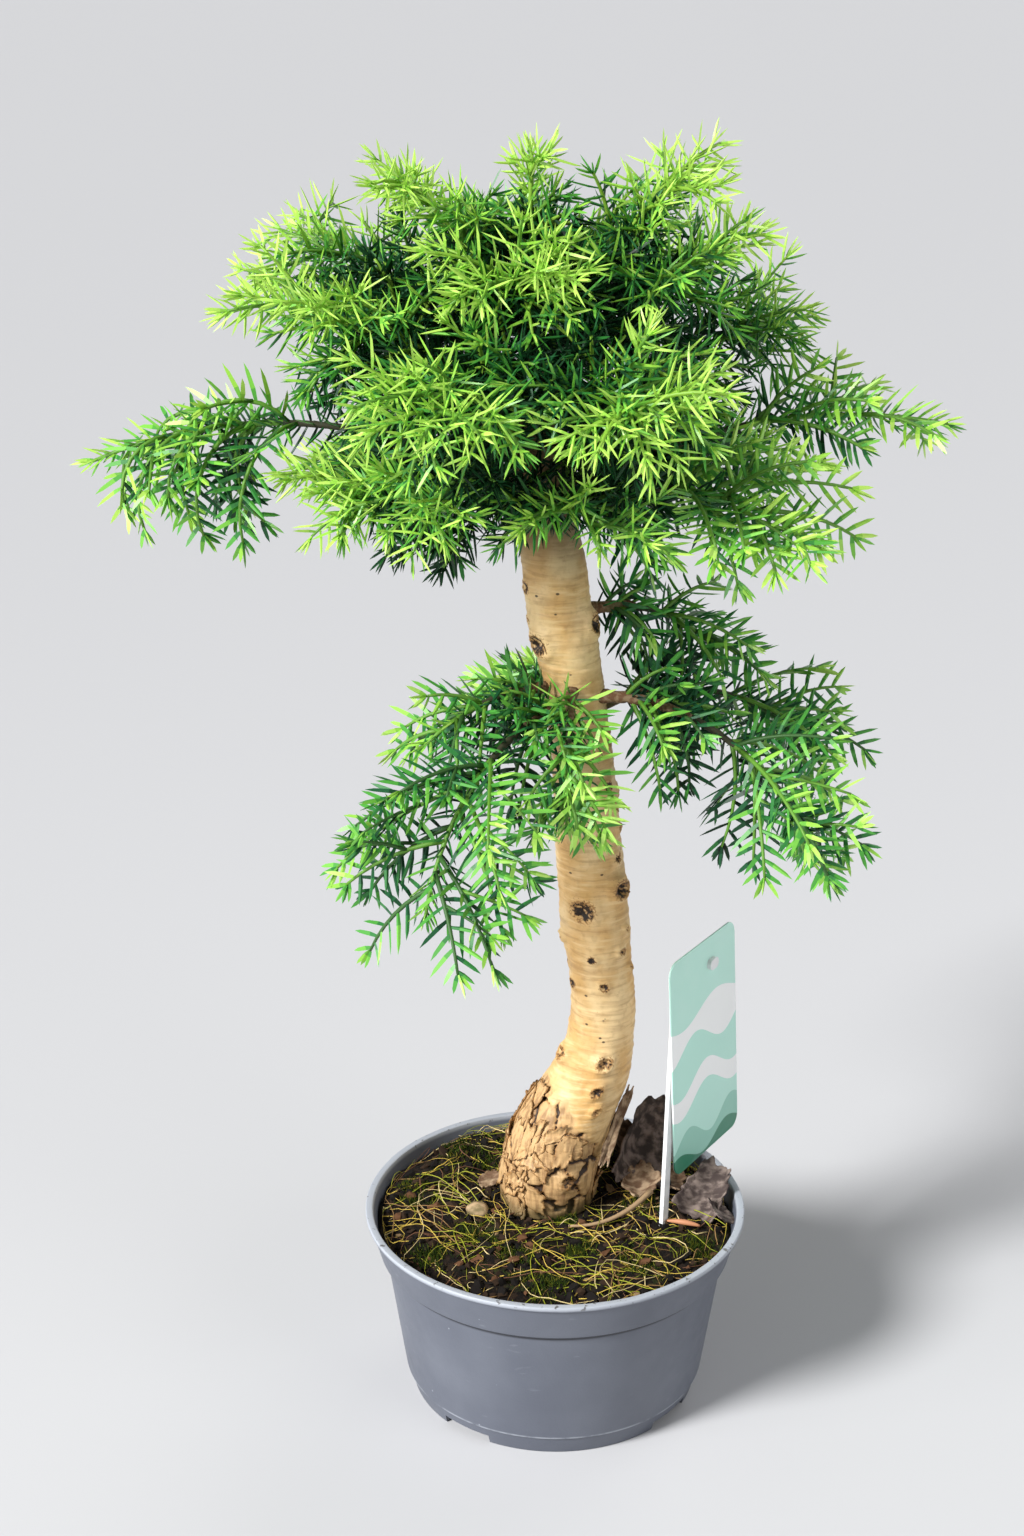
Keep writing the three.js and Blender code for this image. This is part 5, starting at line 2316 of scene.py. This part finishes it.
    def build(self) -> Iterator[Piece]:
        """Builds the foliage.

        Yields:
            The twigs and the needles of each group of masses.
        """
        grown = {mass.name: self.twigs(mass) for mass in MASSES}
        tree = self.limb_tree([twig for twigs in grown.values() for twig in twigs])
        for group in Group:
            twigs = [twig for name in group.value for twig in grown[name]]
            name = group.name.lower()
            wood = Joined.of([self.wood(twig) for twig in twigs])
            yield publish(f"twigs_{name}", wood, self.woods, Slot.BOUGH)
            sprays = Joined.of([self.needle_mesh(twig, self.cover(tree, twig)) for twig in twigs])
            nodes = [mass.node for mass in MASSES if mass.name in group.value]
            yield publish(f"needles_{name}", sprays, self.palette(group), Slot.NEEDLES, nodes, crease=35)


# Label


@dataclass
class Label:
    """The plant label: a card with round corners on the peg of a thin holder that stands in the soil."""

    centre: Triple = (55.5, 21, 125)
    yaw: float = 57.7
    lean: float = -3
    width: float = 50
    height: float = 85
    corner: float = 5
    thickness: float = 0.8
    gap: float = 0.3
    holder_width: float = 4
    holder_thickness: float = 1.6
    holder_tilt: float = 8.6
    holder_foot: float = -104
    holder_top: float = 35
    holder_offset: float = -25
    holder_crossing: float = -17
    arm_height: float = 32
    arm_width: float = 5
    peg_offset: float = 6
    peg_length: float = 6.4
    peg_width: float = 4.2
    peg_proud: float = 1.6
    holder_corner: float = 1
    corner_segments: int = 10
    edge_rounding: float = 0.15
    edge_segments: int = 2

    @property
    def turn(self) -> Matrix:
        """The move from the card's own axes, X across and Z up, to its place."""
        yaw = Matrix.Rotation(math.radians(self.yaw), 4, "Z")
        return Matrix.Translation(self.centre) @ yaw @ Matrix.Rotation(math.radians(self.lean), 4, "X")

    def plate(
        self, size: Pair, middle: Pair, corner: float, front: float, depth: float
    ) -> Shape:
        """A flat plate with round corners and softened edges, in the card's own axes.

        Args:
            size: Its width and height.
            middle: The place of its middle across and up.
            corner: The radius of its corners.
            front: The place of its front along Y.
            depth: Its thickness.

        Returns:
            The plate.
        """
        shape = bmesh.new()
        block = Matrix.Translation((middle[0], front + depth / 2, middle[1]))
        bmesh.ops.create_cube(shape, size=1, matrix=block @ Matrix.Diagonal((size[0], depth, size[1], 1)))
        through = [edge for edge in shape.edges if abs(edge.verts[0].co.y - edge.verts[1].co.y) > depth / 2]
        rounded(shape, through, corner, self.corner_segments)
        rims = [edge for edge in shape.edges if abs(edge.verts[0].co.y - edge.verts[1].co.y) < depth / 4]
        rounded(shape, rims, self.edge_rounding, self.edge_segments)
        return shape

    def holder(self) -> Shape:
        """The holder: a tilted shaft, an arm behind the card, and the peg through it.

        Returns:
            The holder, in the card's own axes.
        """
        back = self.thickness / 2 + self.gap
        length = self.holder_top - self.holder_foot
        middle = self.holder_foot + length / 2 - self.holder_crossing
        corner, thickness = self.holder_corner, self.holder_thickness
        shaft = self.plate((self.holder_width, length), (0, middle), corner, back, thickness)
        tilt = Matrix.Translation((self.holder_offset, 0, self.holder_crossing))
        tilt = tilt @ Matrix.Rotation(math.radians(self.holder_tilt), 4, "Y")
        bmesh.ops.transform(shaft, matrix=tilt, verts=shaft.verts)
        rise = self.arm_height - self.holder_crossing
        arm_start = self.holder_offset + rise * math.tan(math.radians(self.holder_tilt))
        arm_end = self.peg_offset + self.peg_length / 2
        arm_middle = ((arm_start + arm_end) / 2, self.arm_height)
        arm = self.plate((arm_end - arm_start, self.arm_width), arm_middle, corner, back, thickness)
        peg_front = -self.thickness / 2 - self.peg_proud
        peg_size = (self.peg_length, self.peg_width)
        peg_depth = back - peg_front + thickness / 2
        peg_middle = (self.peg_offset, self.arm_height)
        peg = self.plate(peg_size, peg_middle, self.peg_width / 2 - 0.05, peg_front, peg_depth)
        return merged((shaft, arm, peg))

    def build(self) -> Iterator[Piece]:
        """Builds the label.

        Yields:
            The card and its holder.
        """
        size = (self.width, self.height)
        card = self.plate(size, (0, 0), self.corner, -self.thickness / 2, self.thickness)
        holder = self.holder()
        for shape in (card, holder):
            bmesh.ops.transform(shape, matrix=self.turn, verts=shape.verts)
        card_print = CardPrint(self.centre, self.lean, self.yaw)
        yield publish("label_sheet", card, [card_print], Slot.CARD, ["label_card"], crease=40)
        yield publish("label_stake", holder, [WhitePlastic()], Slot.HOLDER, ["label_holder"], crease=40)


# Studio


class Source(Enum):
    """The kinds of light."""

    SUN = "SUN"
    SOFTBOX = "AREA"


@dataclass(frozen=True)
class Lamp:
    """A light: its place, how wide it is, a sun in degrees and a softbox in metres, and its strength."""

    name: str
    source: Source
    place: Triple
    width: float
    strength: float


@dataclass
class Studio:
    """A pale floor, soft lights and the camera at the photograph's place, in metres."""

    floor_half: float = 30
    floor_colour: Triple = (0.58, 0.58, 0.59)
    lens: float = 56.25
    sensor: float = 36
    camera_place: Triple = (-0.01577, -0.77424, 0.53923)
    camera_tilt: float = 69.127
    sky: Colour = (0.86, 0.90, 0.95, 1)
    sky_strength: float = 0.23
    aim: Triple = (0, 0, 0.25)
    lamps: tuple[Lamp, ...] = (
        Lamp("key", Source.SUN, (-1.15, -0.85, 1.25), 16, 4.8),
        Lamp("back", Source.SUN, (0.7, 0.95, 0.8), 40, 0.7),
        Lamp("low", Source.SOFTBOX, (-0.9, -0.45, 0.3), 0.4, 4),
        Lamp("fill", Source.SOFTBOX, (1.1, -0.8, 0.8), 0.9, 6.2),
    )

    def hang(self, lamp: Lamp) -> None:
        """Hangs a light so that it faces the plant.

        Args:
            lamp: The light.
        """
        light = bpy.data.lights.new(lamp.name, lamp.source.value)
        light.energy = lamp.strength
        if lamp.source is Source.SUN:
            light.angle = math.radians(lamp.width)
        else:
            light.size = lamp.width
        hung = placed(lamp.name, light)
        hung.location = lamp.place
        hung.rotation_euler = (Vector(self.aim) - Vector(lamp.place)).to_track_quat("-Z", "Y").to_euler()

    def build(self) -> None:
        """Sets up the floor, the lights, the sky and the camera."""
        shape = bmesh.new()
        bmesh.ops.create_grid(shape, x_segments=1, y_segments=1, size=self.floor_half)
        floor = placed("floor", as_mesh("floor", shape))
        floor.data.materials.append(Tint("floor", self.floor_colour, 0.9, 0).material())
        floor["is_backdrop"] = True
        for lamp in self.lamps:
            self.hang(lamp)
        world = bpy.data.worlds.new("studio_sky")
        world.use_nodes = True
        background = world.node_tree.nodes["Background"]
        background.inputs["Color"].default_value = self.sky
        background.inputs["Strength"].default_value = self.sky_strength
        bpy.context.scene.world = world
        lens = bpy.data.cameras.new("camera")
        lens.lens = self.lens
        lens.sensor_width = self.sensor
        camera = placed("camera", lens)
        camera.location = self.camera_place
        camera.rotation_euler = (math.radians(self.camera_tilt), 0, 0)
        bpy.context.scene.camera = camera
        bpy.context.scene.view_settings.view_transform = "Standard"


def main() -> None:
    """Builds the studio and the plant."""
    logging.basicConfig(level=logging.INFO, format="%(message)s")
    Studio().build()
    trunk, soil = Trunk(), Soil()
    assemblies = (Pot(), soil, Litter(soil), trunk, Flakes(trunk), Boughs(trunk), Foliage(trunk), Label())
    for assembly in assemblies:
        for piece in assembly.build():
            triangles = sum(len(face.vertices) - 2 for face in piece.data.polygons)
            LOG.info("%s: %d triangles", piece.name, triangles)
    boxes = {"cad": CAD_BOX, "visual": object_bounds()}
    {name: [list(corner) for corner in box] for name, box in boxes.items()}


if __name__ == "__main__":
    main()
